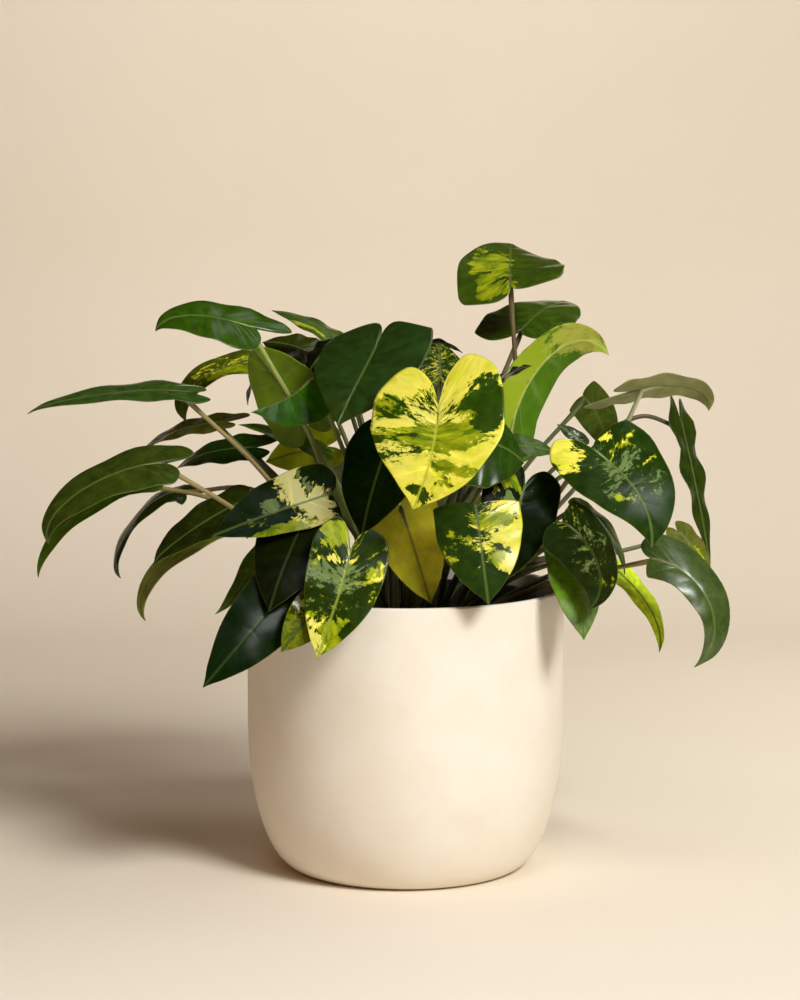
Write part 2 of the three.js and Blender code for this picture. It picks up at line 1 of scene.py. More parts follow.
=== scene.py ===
# %% [markdown]
# # A potted variegated philodendron
# The plant stands in a thin black growing pot, and that pot stands inside a cream stoneware planter.
# The solids of the part give the size and place of every piece. This lesson dresses them: each leaf
# is made again as a thin smooth sheet, and each surface gets a material built from nodes.
# Lengths in the tables are in millimetres, as in the part. Blender works in metres, so every mesh is
# scaled by one thousandth at the end.

# %% The imported part
import math

import bpy
import numpy as np
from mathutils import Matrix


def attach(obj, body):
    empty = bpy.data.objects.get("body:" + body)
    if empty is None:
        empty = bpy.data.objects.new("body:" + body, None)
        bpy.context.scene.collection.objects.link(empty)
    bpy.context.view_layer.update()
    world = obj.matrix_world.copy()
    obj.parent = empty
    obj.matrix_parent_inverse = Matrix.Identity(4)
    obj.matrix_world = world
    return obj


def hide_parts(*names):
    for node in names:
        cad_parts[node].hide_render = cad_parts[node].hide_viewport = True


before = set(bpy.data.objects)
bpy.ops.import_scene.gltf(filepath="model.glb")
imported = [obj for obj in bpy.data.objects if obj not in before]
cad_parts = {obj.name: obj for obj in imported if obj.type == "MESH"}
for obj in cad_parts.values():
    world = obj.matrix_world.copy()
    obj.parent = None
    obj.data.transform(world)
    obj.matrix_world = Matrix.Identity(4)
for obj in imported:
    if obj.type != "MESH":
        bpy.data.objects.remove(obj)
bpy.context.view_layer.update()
MM = 0.001
print("nodes in the part:", len(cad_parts))

# %% [markdown]
# ## The camera
# The photograph looks slightly down on the plant from about two metres, through a long lens, so the
# pot's sides stay almost parallel. A camera can be aimed by a target, but three plain numbers are
# easier to read: where it stands, how far it leans down and its focal length.

# %% Camera at the photograph's viewing angle
CAMERA_PLACE = (-0.0043, -2.0, 0.507)
CAMERA_LEAN = 6.17
CAMERA_LENS = 91.9

camera = bpy.data.objects.new("camera", bpy.data.cameras.new("camera"))
camera.location = CAMERA_PLACE
camera.rotation_euler = (math.radians(90 - CAMERA_LEAN), 0, 0)
camera.data.lens = CAMERA_LENS
camera.data.sensor_width = 36
bpy.context.collection.objects.link(camera)
bpy.context.scene.camera = camera
print("camera", CAMERA_PLACE, "lens", CAMERA_LENS, "mm")

# %% [markdown]
# ## Three helpers
# Colours are written as they would be picked from a screen, as sRGB hex, and one function turns them
# to the linear numbers that a shader works in. A second function adds a shader node, sets its
# values and links its inputs, so each material below reads as a short list. A third starts a
# material with nothing in it.

# %% Colour and node helpers
def linear(code):
    """An sRGB hex colour as linear red, green, blue and full alpha."""
    channels = [int(code[i:i + 2], 16) / 255 for i in (1, 3, 5)]
    return tuple(c / 12.92 if c < 0.04045 else ((c + 0.055) / 1.055) ** 2.4 for c in channels) + (1,)


def add(tree, kind, settings=None, links=None):
    """A new node. A setting is an input's value if the node has an input of that name."""
    node = tree.nodes.new("ShaderNode" + kind)
    for name, value in (settings or {}).items():
        if isinstance(name, int) or name in node.inputs:
            node.inputs[name].default_value = value
        else:
            setattr(node, name, value)
    for name, socket in (links or {}).items():
        tree.links.new(socket, node.inputs[name])
    return node


def new_material(name):
    """A material without nodes, and the tree to add them to."""
    material = bpy.data.materials.new(name)
    material.use_nodes = True
    material.node_tree.nodes.clear()
    return material, material.node_tree


print("white is", linear("#ffffff"))

# %% [markdown]
# ## The leaf table
# Every leaf of a living plant is different, so the table has one row for each, the same as in the
# part. `at` is where the stalk meets the blade, `tip` its far end, `face` the way its upper side
# looks, and `half` half its width. `lobes` are the lengths of the left and right back lobes, and
# `close` narrows them at the notch. `bow` and `side` bend the midrib, or `rib` gives its two control
# points. `skew`, `fold`, `curl`, `twist`, `wave` and `hook` shape the blade, and `via` and `root`
# lead the stalk. `tone` names the part's finish, and `on` the leaf whose piece a small leaf joins.
# Left and right are the blade's own, looking from its stalk to its tip with its face up.

# %% One row for each leaf
LEAVES = [
    # Left side, from the top down
    dict(name="leaf_left_1", tone="green", at=[-118, -15, 427], tip=[-194, -30, 426], face=[0, -0.62, 0.78],
         rib=[[-144, -18, 436], [-178, -26, 444]], half=24, lobes=[8, 30], skew=0.15, fold=4, curl=-14,
         hook=3),
    dict(name="leaf_left_2", tone="lime", at=[-81, 4, 354], tip=[-122, -6, 414], face=[0.3, 1, 0.3],
         bow=[5, 5], half=30, lobes=[18, 18], fold=8, curl=-10),
    dict(name="leaf_left_3", tone="green", at=[-70, -38, 394], tip=[-118, -54, 364], face=[0.1, -0.3, 1],
         rib=[[-84, -42, 373], [-98, -47, 372]], half=29, lobes=[24, 10], fold=-50),
    dict(name="leaf_left_4", tone="green", at=[-49, 70, 412], tip=[-109, 85, 437], face=[0.2, -0.35, 1],
         bow=[6, 6], half=16, lobes=[8, 8], fold=-10),
    dict(name="leaf_left_5", tone="green", at=[-80, 112, 402], tip=[-119, 127, 409], face=[0.1, -0.45, 0.9],
         bow=[4, 4], half=22, lobes=[14, 14], root=[-16, 46]),
    dict(name="leaf_left_6", tone="dark", at=[-60, 42, 411], tip=[-78, 28, 386], face=[-0.7, -0.6, 0.4],
         bow=[3, 3], half=16, lobes=[8, 8], root=[-13, 12]),
    dict(name="leaf_left_7", tone="green", at=[-112, 80, 393], tip=[-176, 52, 348], face=[-0.1, -0.4, 0.9],
         rib=[[-147, 72, 402], [-194, 54, 374]], half=18, lobes=[14, 20], fold=4, via=[[-70, 57, 314]],
         root=[-33, 16]),
    dict(name="leaf_left_8", tone="green", at=[-170, -58, 380], tip=[-287, -72, 366], face=[0.1, -0.25, 1],
         rib=[[-198, -60, 384], [-250, -67, 378]], half=22, lobes=[22, 18], fold=6, curl=-14, hook=2),
    dict(name="leaf_left_9", tone="dark", at=[-149, 42, 349], tip=[-212, 54, 326], face=[-0.1, -0.3, 0.9],
         bow=[6, 8], half=18, lobes=[14, 24]),
    dict(name="leaf_left_10", tone="green", at=[-182, -95, 329], tip=[-268, -115, 270],
         face=[-0.3, -0.6, 0.8], rib=[[-212, -100, 329], [-271, -112, 303]], half=24, lobes=[12, 24],
         skew=0.05, fold=4, curl=-14, hook=4, via=[[-115, -73, 280]]),
    dict(name="leaf_left_11", tone="dark", at=[-197, -48, 309], tip=[-280, -72, 239], face=[-0.4, -0.4, 0.7],
         rib=[[-235, -58, 306], [-282, -68, 266]], half=13, lobes=[10, 10], via=[[-140, -12, 287]]),
    dict(name="leaf_left_12", tone="green", at=[-177, 20, 295], tip=[-226, 10, 227], face=[-0.8, -0.3, 0.5],
         rib=[[-207, 20, 299], [-243, 15, 243]], half=14, lobes=[4, 10], curl=-16, via=[[-115, 22, 294]]),
    dict(name="leaf_left_13", tone="green", at=[-126, 85, 325], tip=[-190, 110, 305], face=[0.1, -0.5, 0.9],
         bow=[6, 10], half=21, lobes=[18, 20]),
    dict(name="leaf_left_14", tone="lime", at=[-66, 83, 326], tip=[-114, 74, 314], face=[0, 0.8, 0.5],
         bow=[3, 3], half=23, root=[-26, 24]),
    dict(name="leaf_left_15", tone="green", at=[-67, 34, 329], tip=[-133, 30, 348], face=[0, -0.35, 1],
         bow=[5, 5], half=15, lobes=[12, 12], curl=-20),
    dict(name="leaf_left_16", tone="dark", at=[-128, -38, 293], tip=[-196, -56, 247], face=[-0.3, -0.5, 0.8],
         bow=[5, 6], half=24, lobes=[8, 14], fold=8, curl=-16, hook=4, root=[-44, -2]),
    dict(name="leaf_left_17", tone="lime", at=[-128, 22, 275], tip=[-206, 2, 194], face=[-0.5, -0.6, 0.5],
         rib=[[-164, 20, 272], [-226, 8, 220]], half=19, lobes=[10, 14], twist=24,
         via=[[-78, 5, 244]]),
    dict(name="leaf_left_18", tone="dark", at=[-110, 62, 390], tip=[-127, 52, 362], face=[-0.7, -0.2, 0.5],
         on="leaf_left_7", via=[[-71, 56, 316]], bow=[8, 8], half=9, lobes=[4, 4]),

    # Front, under the crown
    dict(name="leaf_front_1", tone="dark", at=[-22, -39, 415], tip=[-51, -87, 356], face=[-0.3, -0.7, 0.65],
         bow=[8, 10], side=[6, 4], half=45, lobes=[31, 31], close=2, fold=5, curl=-14),
    dict(name="leaf_front_2", tone="lime", at=[-57, -80, 304], tip=[-145, -110, 275], face=[0, -0.9, 0.5],
         bow=[4, 4], half=25, lobes=[2, 10], skew=-0.15, fold=4, curl=-10),
    dict(name="leaf_front_3", tone="dark", at=[-76, -85, 286], tip=[-101, -135, 222], face=[-0.2, -0.9, 0.3],
         bow=[6, 8], half=31, lobes=[14, 20], curl=-16),
    dict(name="leaf_front_4", tone="green", at=[-98, -39, 267], tip=[-145, -78, 212], face=[-0.6, -0.6, 0.3],
         rib=[[-116, -55, 260], [-126, -68, 222]], half=13, lobes=[5, 5], root=[-35, -26]),
    dict(name="leaf_front_5", tone="green", at=[-85, -110, 239], tip=[-149, -155, 169], face=[0.2, -0.9, 0.4],
         bow=[6, 8], half=26, lobes=[14, 18], curl=-16),
    dict(name="leaf_front_6", tone="lime", at=[-60, -128, 232], tip=[-92, -146, 194], face=[0, -1, 0.2],
         bow=[2, 2], half=17, lobes=[4, 4]),
    dict(name="leaf_front_7", tone="yellow", at=[-41, -125, 267], tip=[-65, -152, 190], face=[-0.1, -1, 0.2],
         bow=[4, 6], side=[4, 1], half=29, lobes=[18, 25], fold=6, curl=-10),
    dict(name="leaf_front_8", tone="dark", at=[-12, -65, 344], tip=[-33, -90, 273], face=[-0.4, -0.8, 0.2],
         bow=[5, 6], half=34, lobes=[14, 18], curl=-12, root=[-10, -32]),
    dict(name="leaf_front_9", tone="yellow", at=[24, -128, 375], tip=[5, -160, 301], face=[-0.3, -0.8, 0.4],
         bow=[6, 7], side=[8, 8], half=51, lobes=[41, 38], fold=6, curl=-10,
         via=[[14, -62, 307]]),
    dict(name="leaf_front_10", tone="lime", at=[-4, -78, 295], tip=[19, -100, 223], face=[0, 0.9, 0.3],
         bow=[4, 4], half=27, lobes=[14, 14]),
    dict(name="leaf_front_11", tone="lime", at=[52, -110, 299], tip=[61, -137, 228], face=[0, -0.9, 0.4],
         bow=[5, 6], half=33, lobes=[2, 4], curl=-12),
    dict(name="leaf_front_12", tone="dark", at=[91, -66, 310], tip=[62, -90, 231], face=[0.3, -0.9, 0.2],
         bow=[4, 6], half=31, lobes=[16, 16]),
    dict(name="leaf_front_13", tone="green", at=[50, -82, 346], tip=[90, -66, 326], face=[0.1, -0.7, 0.7],
         bow=[8, 8], half=40, lobes=[14, 14], curl=-24),
    dict(name="leaf_front_14", tone="green", at=[70, -44, 336], tip=[117, -38, 331], face=[0, -0.6, 0.8],
         bow=[6, 6], half=14, lobes=[8, 8], root=[12, -16]),

    # Crown
    dict(name="leaf_top_1", tone="green", at=[82, 0, 460], tip=[87, 90, 491], face=[-0.29, -0.45, 0.9],
         bow=[5, 5], half=43, lobes=[22, 11], close=1, twist=34, via=[[84, 0, 340]], root=[30, 0]),
    dict(name="leaf_top_2", tone="dark", at=[92, 45, 422], tip=[134, 128, 443], face=[-0.2, -0.6, 0.85],
         bow=[6, 8], half=38, lobes=[22, 10]),
    dict(name="leaf_top_3", tone="lime", at=[80, -20, 336], tip=[160, 6, 404], face=[-0.5, 0.8, 0.3],
         rib=[[88, -6, 398], [138, 14, 437]], half=25, lobes=[12, 12]),
    dict(name="leaf_top_4", tone="dark", at=[70, -45, 387], tip=[96, -60, 400], face=[0.1, -0.4, 0.9],
         bow=[2, 2], half=12, lobes=[5, 5], root=[26, -13]),
    dict(name="leaf_top_5", tone="lime", at=[27, -20, 387], tip=[27, 20, 414], face=[0, -0.8, 0.6],
         bow=[2, 2], half=18, lobes=[8, 8]),
    dict(name="leaf_top_6", tone="dark", at=[12, 36, 410], tip=[46, 52, 404], face=[0, -0.5, 0.9],
         bow=[7, 7], half=8, lobes=[5, 5]),

    # Right side
    dict(name="leaf_right_1", tone="dark", at=[141, 28, 371], tip=[164, 18, 324], face=[-0.4, -0.7, 0.4],
         bow=[4, 4], side=[8, 4], half=16, lobes=[2, 2]),
    dict(name="leaf_right_2", tone="green", at=[181, -15, 379], tip=[238, 0, 361], face=[0, 0.5, 0.9],
         rib=[[203, -10, 384], [240, -4, 384]], half=20, lobes=[44, 22], via=[[167, -12, 343]], root=[49, 1]),
    dict(name="leaf_right_3", tone="green", at=[224, 60, 345], tip=[247, 48, 230], face=[0.8, -0.6, 0.1],
         bow=[2, 2], half=15, lobes=[22, 26], wave=[3, 3, 0], via=[[152, 42, 329], [190, 52, 353]]),
    dict(name="leaf_right_4", tone="green", at=[142, -75, 338], tip=[184, -105, 266], face=[0.1, -0.8, 0.5],
         bow=[8, 10], side=[8, 18], half=37, lobes=[6, 26], skew=0.08, curl=-12,
         via=[[92, -36, 288]]),
    dict(name="leaf_right_5", tone="dark", at=[131, -30, 289], tip=[170, -40, 237], face=[0.6, -0.3, 0.7],
         rib=[[147, -31, 288], [168, -36, 264]], half=14, lobes=[5, 5]),
    dict(name="leaf_right_6", tone="dark", at=[118, -88, 284], tip=[136, -118, 221], face=[-0.3, -0.9, 0.3],
         rib=[[140, -94, 273], [158, -112, 238]], half=22, lobes=[2, 8], skew=-0.15,
         via=[[116, -54, 266]]),
    dict(name="leaf_right_7", tone="dark", at=[126, -68, 257], tip=[134, -104, 196], face=[0.2, -0.9, 0.3],
         bow=[4, 5], half=21, lobes=[6, 10], root=[48, -16]),
    dict(name="leaf_right_8", tone="lime", at=[162, -22, 240], tip=[197, -42, 176], face=[0.4, -0.6, 0.5],
         rib=[[180, -26, 227], [203, -36, 200]], half=11, lobes=[6, 6], root=[60, -8]),
    dict(name="leaf_right_9", tone="green", at=[187, -75, 254], tip=[218, -92, 173], face=[0.3, -0.7, 0.6],
         rib=[[222, -84, 251], [253, -94, 202]], half=19, lobes=[10, 3], skew=0.2, curl=-10),
    dict(name="leaf_right_10", tone="green", at=[220, 34, 261], tip=[245, 28, 228], face=[0.2, -0.6, 0.7],
         bow=[3, 3], half=13, lobes=[9, 9]),
    dict(name="leaf_right_11", tone="dark", at=[94, 52, 231], tip=[138, 44, 235], face=[0, 0.5, 0.8],
         bow=[4, 4], half=13, lobes=[8, 8], root=[44, 24]),
    dict(name="leaf_right_12", tone="dark", at=[138, -34, 338], tip=[117, -30, 353], face=[-0.3, -0.7, 0.6],
         on="leaf_right_5", bow=[3, 3], half=6, lobes=[3, 3]),

    # Back
    dict(name="leaf_back_1", tone="green", at=[-44, 124, 372], tip=[-86, 194, 334], face=[-0.3, 0.5, 0.8],
         bow=[8, 10], half=32),
    dict(name="leaf_back_2", tone="green", at=[10, 108, 384], tip=[25, 195, 345], face=[0, 0.5, 0.85],
         bow=[8, 10], half=37),
    dict(name="leaf_back_3", tone="green", at=[62, 118, 334], tip=[82, 190, 284], face=[0.2, 0.6, 0.7],
         bow=[8, 10], half=28),
    dict(name="leaf_back_4", tone="dark", at=[-98, 112, 292], tip=[-136, 178, 238], face=[-0.4, 0.5, 0.7],
         bow=[8, 8], half=28, root=[-36, 38]),
    dict(name="leaf_back_5", tone="green", at=[-30, 130, 312], tip=[-48, 205, 248], face=[-0.2, 0.7, 0.6],
         bow=[6, 8], half=34),
    dict(name="leaf_back_6", tone="lime", at=[30, 130, 286], tip=[42, 200, 216], face=[0.1, 0.8, 0.5],
         bow=[6, 8], half=32),
    dict(name="leaf_back_7", tone="dark", at=[108, 102, 262], tip=[146, 160, 205], face=[0.4, 0.6, 0.5],
         bow=[6, 8], half=27),
    dict(name="leaf_back_8", tone="green", at=[-84, 104, 248], tip=[-112, 160, 184], face=[-0.4, 0.7, 0.5],
         bow=[6, 8], half=26, root=[-22, 56]),
    dict(name="leaf_back_9", tone="dark", at=[4, 116, 246], tip=[0, 168, 180], face=[0, 0.9, 0.4],
         bow=[5, 6], half=27, root=[2, 45]),
]
print(len(LEAVES), "leaves")

# %% [markdown]
# ## The shape of a blade
# A living blade is a sheet with a midrib, two back lobes and side veins that run in curves from the
# midrib to the edge. It could be sculpted by hand or cut from a flat card and bent with modifiers.
# Here a formula does it: rows follow the side veins, so the veins, the ripples and the marbling all
# have a direction to follow. The same formula with fewer rows makes the part's solids.

# %% The flat outline of half a blade
OUTLINE = np.array([
    [0, 0], [-0.62, 0.14], [-1, 0.46], [-0.6, 0.88], [0.1, 1], [0.38, 0.94],
    [0.64, 0.7], [0.84, 0.36], [0.94, 0.12], [1, 0],
])
# How strongly the side veins lean towards the tip
VEIN_LEAN = 1.6
# The share of the blade's length from which the tip hooks down
HOOK_START = 0.85
# Where the table has no lobes or root: a lobe's share of the length, a root's share of the way out
LOBE_SHARE = 0.3
ROOT_SHARE = 0.3


def outline(t):
    """A smooth curve through the outline's points, for t from 0 to 1."""
    last = len(OUTLINE) - 1
    place = np.asarray(t, float) * last
    i = np.minimum(place.astype(int), last - 1)
    w = (place - i)[:, None]
    before, start = OUTLINE[np.maximum(i - 1, 0)], OUTLINE[i]
    end, after = OUTLINE[i + 1], OUTLINE[np.minimum(i + 2, last)]
    lead, trail = (end - before) / 2, (after - start) / 2
    cubic = (2 * start - 2 * end + lead + trail) * w**3
    return cubic + (-3 * start + 3 * end - 2 * lead - trail) * w**2 + lead * w + start


print("outline starts at", outline([0, 0.25])[1].round(2))

# %% [markdown]
# The midrib is a Bezier curve from the stalk to the tip. At each place along it the blade has an
# upright direction, turned by the leaf's twist, and a direction to its left. A point of the sheet is
# found from how far along and how far across it lies. The edge ripples up and down by a millimetre
# or so, more towards the edge, and the last bit of the tip may hook down.

# %% The midrib, and any point of the sheet
RIPPLE_HEIGHT = 1.2
RIPPLE_COUNT = 2.5
RIB_START = 0.001


def unit(v):
    """Vectors scaled to length one."""
    return v / np.maximum(np.linalg.norm(v, axis=-1, keepdims=True), 1e-12)


def leaf_frame(leaf):
    """The blade's length, its lobes, its midrib's control points and the way it faces."""
    at, tip = np.array(leaf["at"], float), np.array(leaf["tip"], float)
    length = np.linalg.norm(tip - at)
    along = (tip - at) / length
    face = np.array(leaf["face"], float)
    face = unit(face - along * (face @ along))
    across = np.cross(face, along)
    controls = [at + along * length * (i + 1) / 3
                + face * leaf.get("bow", (0, 0))[i] + across * leaf.get("side", (0, 0))[i] for i in (0, 1)]
    controls = [np.array(p, float) for p in leaf.get("rib", controls)]
    lobes = leaf.get("lobes", (length * LOBE_SHARE,) * 2)
    return dict(length=length, lobes=lobes, face=face, bezier=(at, *controls, tip))


def midrib(curve, t):
    """Places on the midrib and the directions along it."""
    a, b, c, d = curve
    t = np.asarray(t, float)[..., None]
    s = 1 - t
    place = a * s**3 + 3 * b * s**2 * t + 3 * c * s * t**2 + d * t**3
    ahead = (b - a) * s**2 + 2 * (c - b) * s * t + (d - c) * t**2
    return place, unit(ahead)


def sheet_points(leaf, shape, x, y):
    """Points of the sheet: x millimetres along, y across as a signed share of the half width."""
    share = np.clip(x / shape["length"], 0, 1)
    place = midrib(shape["bezier"], share)[0]
    ahead = midrib(shape["bezier"], np.maximum(share, RIB_START))[1]
    normal = unit(shape["face"] - ahead * (ahead @ shape["face"])[..., None])
    angle = (math.radians(leaf.get("twist", 0)) * share)[..., None]
    normal = normal * np.cos(angle) + np.cross(ahead, normal) * np.sin(angle)
    left = np.cross(normal, ahead)
    place = place + ahead * np.minimum(x, 0)[..., None]
    bend = np.maximum(0, (share - HOOK_START) / (1 - HOOK_START)) ** 2
    out = np.abs(y)
    half = leaf["half"] * (1 + np.sign(y) * leaf.get("skew", 0))
    lean = np.radians(leaf.get("fold", 0) + leaf.get("curl", 0) * out / 2)
    height, count, start = leaf.get("wave", (RIPPLE_HEIGHT, RIPPLE_COUNT, leaf["at"][0]))
    ripple = np.sin(2 * math.pi * count * x / shape["length"] + start + np.sign(y))
    lift = half * out * np.sin(lean) + height * ripple * out**2 - leaf.get("hook", 0) * bend
    return place + left * (half * y * np.cos(lean))[..., None] + normal * lift[..., None]


print("longest blade", round(max(leaf_frame(leaf)["length"] for leaf in LEAVES)), "mm")

# %% [markdown]
# ## The grid of a blade
# The grid has 48 rows along the veins. Across, its columns lie close together near the midrib, where
# the sheet dips on top and carries a round rib below, and near the edge. Between the side veins the
# sheet swells by a few tenths of a millimetre, which breaks up the shine as on the real leaf. The
# edge is nibbled by a hundredth or two of the half width, in another way on each side.

# %% Grid of one blade
ROWS = 48
COLUMNS = np.array([0.02, 0.045, 0.08, 0.14, 0.24, 0.36, 0.49, 0.62, 0.75, 0.87, 0.96, 1])
SHEET = 0.5
SIDE_VEINS = 8
SWELL = 0.2
RIB_DEPTH = 0.9
RIB_WIDTH = 1.3
RIB_TAPER = 0.8
GROOVE = 0.12
GROOVE_WIDTH = 0.9
NIBBLE = 0.009
NIBBLE_PACES = (9, 17, 31)


def blade_grid(leaf, shape, seed):
    """Grids of x in mm, y as a share of the half width, the row's share and the share along a vein."""
    dice = np.random.default_rng(seed)
    row = np.linspace(0, 1, ROWS + 1)
    vein_x = shape["length"] * row**VEIN_LEAN
    edge = outline(row)
    xs, ys, vs = [], [], []
    for side in (-1, 1):
        lobe = shape["lobes"][0 if side > 0 else 1]
        phase = dice.uniform(0, 6.28, 3)
        nibble = sum(np.sin(row * k + p) for k, p in zip(NIBBLE_PACES, phase)) * NIBBLE
        edge_x = edge[:, 0] * np.where(edge[:, 0] < 0, lobe, shape["length"])
        edge_y = edge[:, 1] * (1 + nibble) * np.minimum(3 * row, 1) ** leaf.get("close", 0)
        steps = COLUMNS if side > 0 else COLUMNS[::-1]
        xs.append(vein_x[:, None] + (edge_x - vein_x)[:, None] * steps)
        ys.append(side * edge_y[:, None] * steps)
        vs.append(side * np.repeat(steps[None], ROWS + 1, 0))
    spine = np.zeros((ROWS + 1, 1))
    x = np.hstack([xs[0], vein_x[:, None], xs[1]])
    y = np.hstack([ys[0], spine, ys[1]])
    v = np.hstack([vs[0], spine, vs[1]])
    return x, y, np.repeat(row[:, None], v.shape[1], 1), v


def sheet_normals(points):
    """Directions square to a grid of points."""
    down = np.gradient(points, axis=0)
    over = np.gradient(points, axis=1)
    return unit(np.cross(down, over))


print("grid of", ROWS + 1, "by", 2 * len(COLUMNS) + 1, "points")

# %% [markdown]
# ## From a grid to a closed sheet
# The grid is laid down twice, once for the upper side and once for the underside, half a millimetre
# apart, and a narrow wall joins them round the edge. A solidify modifier would do that too, but
# writing the faces gives the two sides their own materials and the rib its own depth.

# %% Closed sheet of one blade
def blade_mesh(leaf, shape, seed, puff=1):
    """Vertices, faces, material numbers, places in mm and vein directions of one blade."""
    x, y, row, v = blade_grid(leaf, shape, seed)
    points = sheet_points(leaf, shape, x, y)
    normals = sheet_normals(points)
    normals[0], normals[-1] = normals[1, len(COLUMNS)], normals[-2, len(COLUMNS)]
    from_rib = np.abs(y) * leaf["half"]
    swell = puff * SWELL * np.sin(math.pi * SIDE_VEINS * row) ** 2 * 4 * np.abs(v) * (1 - np.abs(v))
    groove = GROOVE * np.exp(-((from_rib / GROOVE_WIDTH) ** 2))
    ridge = RIB_DEPTH * (1 - RIB_TAPER * row) * np.exp(-((from_rib / RIB_WIDTH) ** 2))
    upper = points + normals * (SHEET / 2 + swell - groove)[..., None]
    lower = points - normals * (SHEET / 2 - swell + ridge)[..., None]
    rows, columns = v.shape
    number = np.zeros((rows, columns), int)
    number[1:-1] = np.arange(1, 1 + (rows - 2) * columns).reshape(rows - 2, columns)
    number[-1] = 1 + (rows - 2) * columns
    count = number[-1, 0] + 1
    pick = np.concatenate([[0], np.arange(columns, columns * (rows - 1)), [columns * (rows - 1)]])
    verts = np.concatenate([upper.reshape(-1, 3)[pick], lower.reshape(-1, 3)[pick]])
    a, b = number[:-1, :-1].ravel(), number[1:, :-1].ravel()
    c, d = number[1:, 1:].ravel(), number[:-1, 1:].ravel()
    above = np.stack([a, b, c, d], 1)
    below = np.stack([a, d, c, b], 1) + count
    right, left = number[:, 0], number[:, -1]
    wall = np.concatenate([
        np.stack([right[:-1], right[:-1] + count, right[1:] + count, right[1:]], 1),
        np.stack([left[:-1], left[1:], left[1:] + count, left[:-1] + count], 1),
    ])
    faces = [list(dict.fromkeys(face)) for face in np.concatenate([above, below, wall]).tolist()]
    slots = [0] * len(above) + [1] * (len(below) + len(wall))
    places = np.stack([x, y * leaf["half"], np.full_like(x, seed)], -1).reshape(-1, 3)[pick]
    veins = np.stack([row, v, np.full_like(x, seed)], -1).reshape(-1, 3)[pick]
    return verts, faces, slots, np.tile(places, (2, 1)), np.tile(veins, (2, 1))


test = leaf_frame(LEAVES[0])
print("one blade has", len(blade_mesh(LEAVES[0], test, 1)[1]), "faces")

# %% [markdown]
# ## The stalks
# A leaf stalk of this plant is round and about 5 mm thick at its foot. It thins towards the blade,
# swells a little where it joins it, and runs on under the midrib. It rises straight out of the soil
# and then leans out in one bend. A curve object with a bevel would draw it too, but the path here is
# the same rounded curve as in the part, so the stalk stays where the part has it.

# %% Path and tube of one stalk
SOIL_TOP = 198
STALK_DEPTH = 14
STALK_TUCK = 1.3
STALK_BASE = 2.4
STALK_TIP = 1.7
STALK_SIDES = 12
STALK_STEPS = 12
# Where a stalk without a row of its own in `via` passes: shares of the way from foot to blade
STALK_BEND = (0.42, 0.42, 0.58)
# The swelling at the blade: its height in mm, and its place and reach as shares of the stalk
KNEE, KNEE_PLACE, KNEE_REACH = 0.5, 0.97, 0.025
# Three last rings under the midrib, in mm: how far along the blade, how deep and how thick
RUN_ON = np.array([[7.0, 1.1, 1.5], [12.0, 0.7, 1.0], [18.0, 0.3, 0.5]])


def rounded_path(points, steps):
    """A centripetal curve through the points, sampled evenly between each two."""
    points = np.array(points, float)
    points = np.vstack([2 * points[0] - points[1], points, 2 * points[-1] - points[-2]])
    curve = []
    for p0, p1, p2, p3 in zip(points, points[1:], points[2:], points[3:]):
        d0, d1, d2 = (max(np.linalg.norm(q - p) ** 0.5, 1e-4)
                      for p, q in ((p0, p1), (p1, p2), (p2, p3)))
        lead = ((p1 - p0) / d0 - (p2 - p0) / (d0 + d1) + (p2 - p1) / d1) * d1
        trail = ((p2 - p1) / d1 - (p3 - p1) / (d1 + d2) + (p3 - p2) / d2) * d1
        w = np.linspace(0, 1, steps, endpoint=False)[:, None]
        cubic = (2 * p1 - 2 * p2 + lead + trail) * w**3
        curve.append(cubic + (-3 * p1 + 3 * p2 - 2 * lead - trail) * w**2 + lead * w + p1)
    return np.vstack([*curve, points[-2]])


def root_of(leaf):
    """Where a stalk leaves the soil: x and y."""
    return leaf.get("root", [leaf["at"][0] * ROOT_SHARE, leaf["at"][1] * ROOT_SHARE])


def stalk_path(leaf, shape):
    """The path of a stalk, from a little below the soil to just under its blade."""
    source = next(row for row in LEAVES if row["name"] == leaf.get("on", leaf["name"]))
    foot = np.array([*root_of(source), SOIL_TOP], float)
    middle = foot + (np.array(leaf["at"]) - foot) * STALK_BEND
    end = sheet_points(leaf, shape, np.array([3.0]), np.array([0.0]))[0] - shape["face"] * STALK_TUCK
    rises = [foot + (0, 0, STALK_DEPTH * share) for share in (-1, -1 / 3, 1 / 4)]
    return rounded_path([*rises, *leaf.get("via", [middle]), end], STALK_STEPS)


def tube(path, radii, sides):
    """A closed round tube along a path: vertices, faces and places (length, angle)."""
    ahead = unit(np.gradient(path, axis=0))
    side = np.array([1.0, 0, 0])
    verts, places = [], []
    run = np.concatenate([[0], np.cumsum(np.linalg.norm(np.diff(path, axis=0), axis=1))])
    angle = np.linspace(0, 2 * math.pi, sides, endpoint=False)
    for centre, way, radius, far in zip(path, ahead, radii, run):
        side = unit(side - way * (side @ way))
        other = np.cross(way, side)
        verts.append(centre + radius * (np.cos(angle)[:, None] * side + np.sin(angle)[:, None] * other))
        places.append(np.stack([np.full(sides, far), angle, angle * 0], 1))
    rings = len(path)
    k = np.arange(sides)
    start = (np.arange(rings - 1) * sides)[:, None]
    after = (k + 1) % sides
    quads = np.stack([start + k, start + after, start + sides + after, start + sides + k], -1)
    faces = quads.reshape(-1, 4).tolist()
    faces += [k[::-1].tolist(), ((rings - 1) * sides + k).tolist()]
    return np.vstack(verts), faces, np.vstack(places)


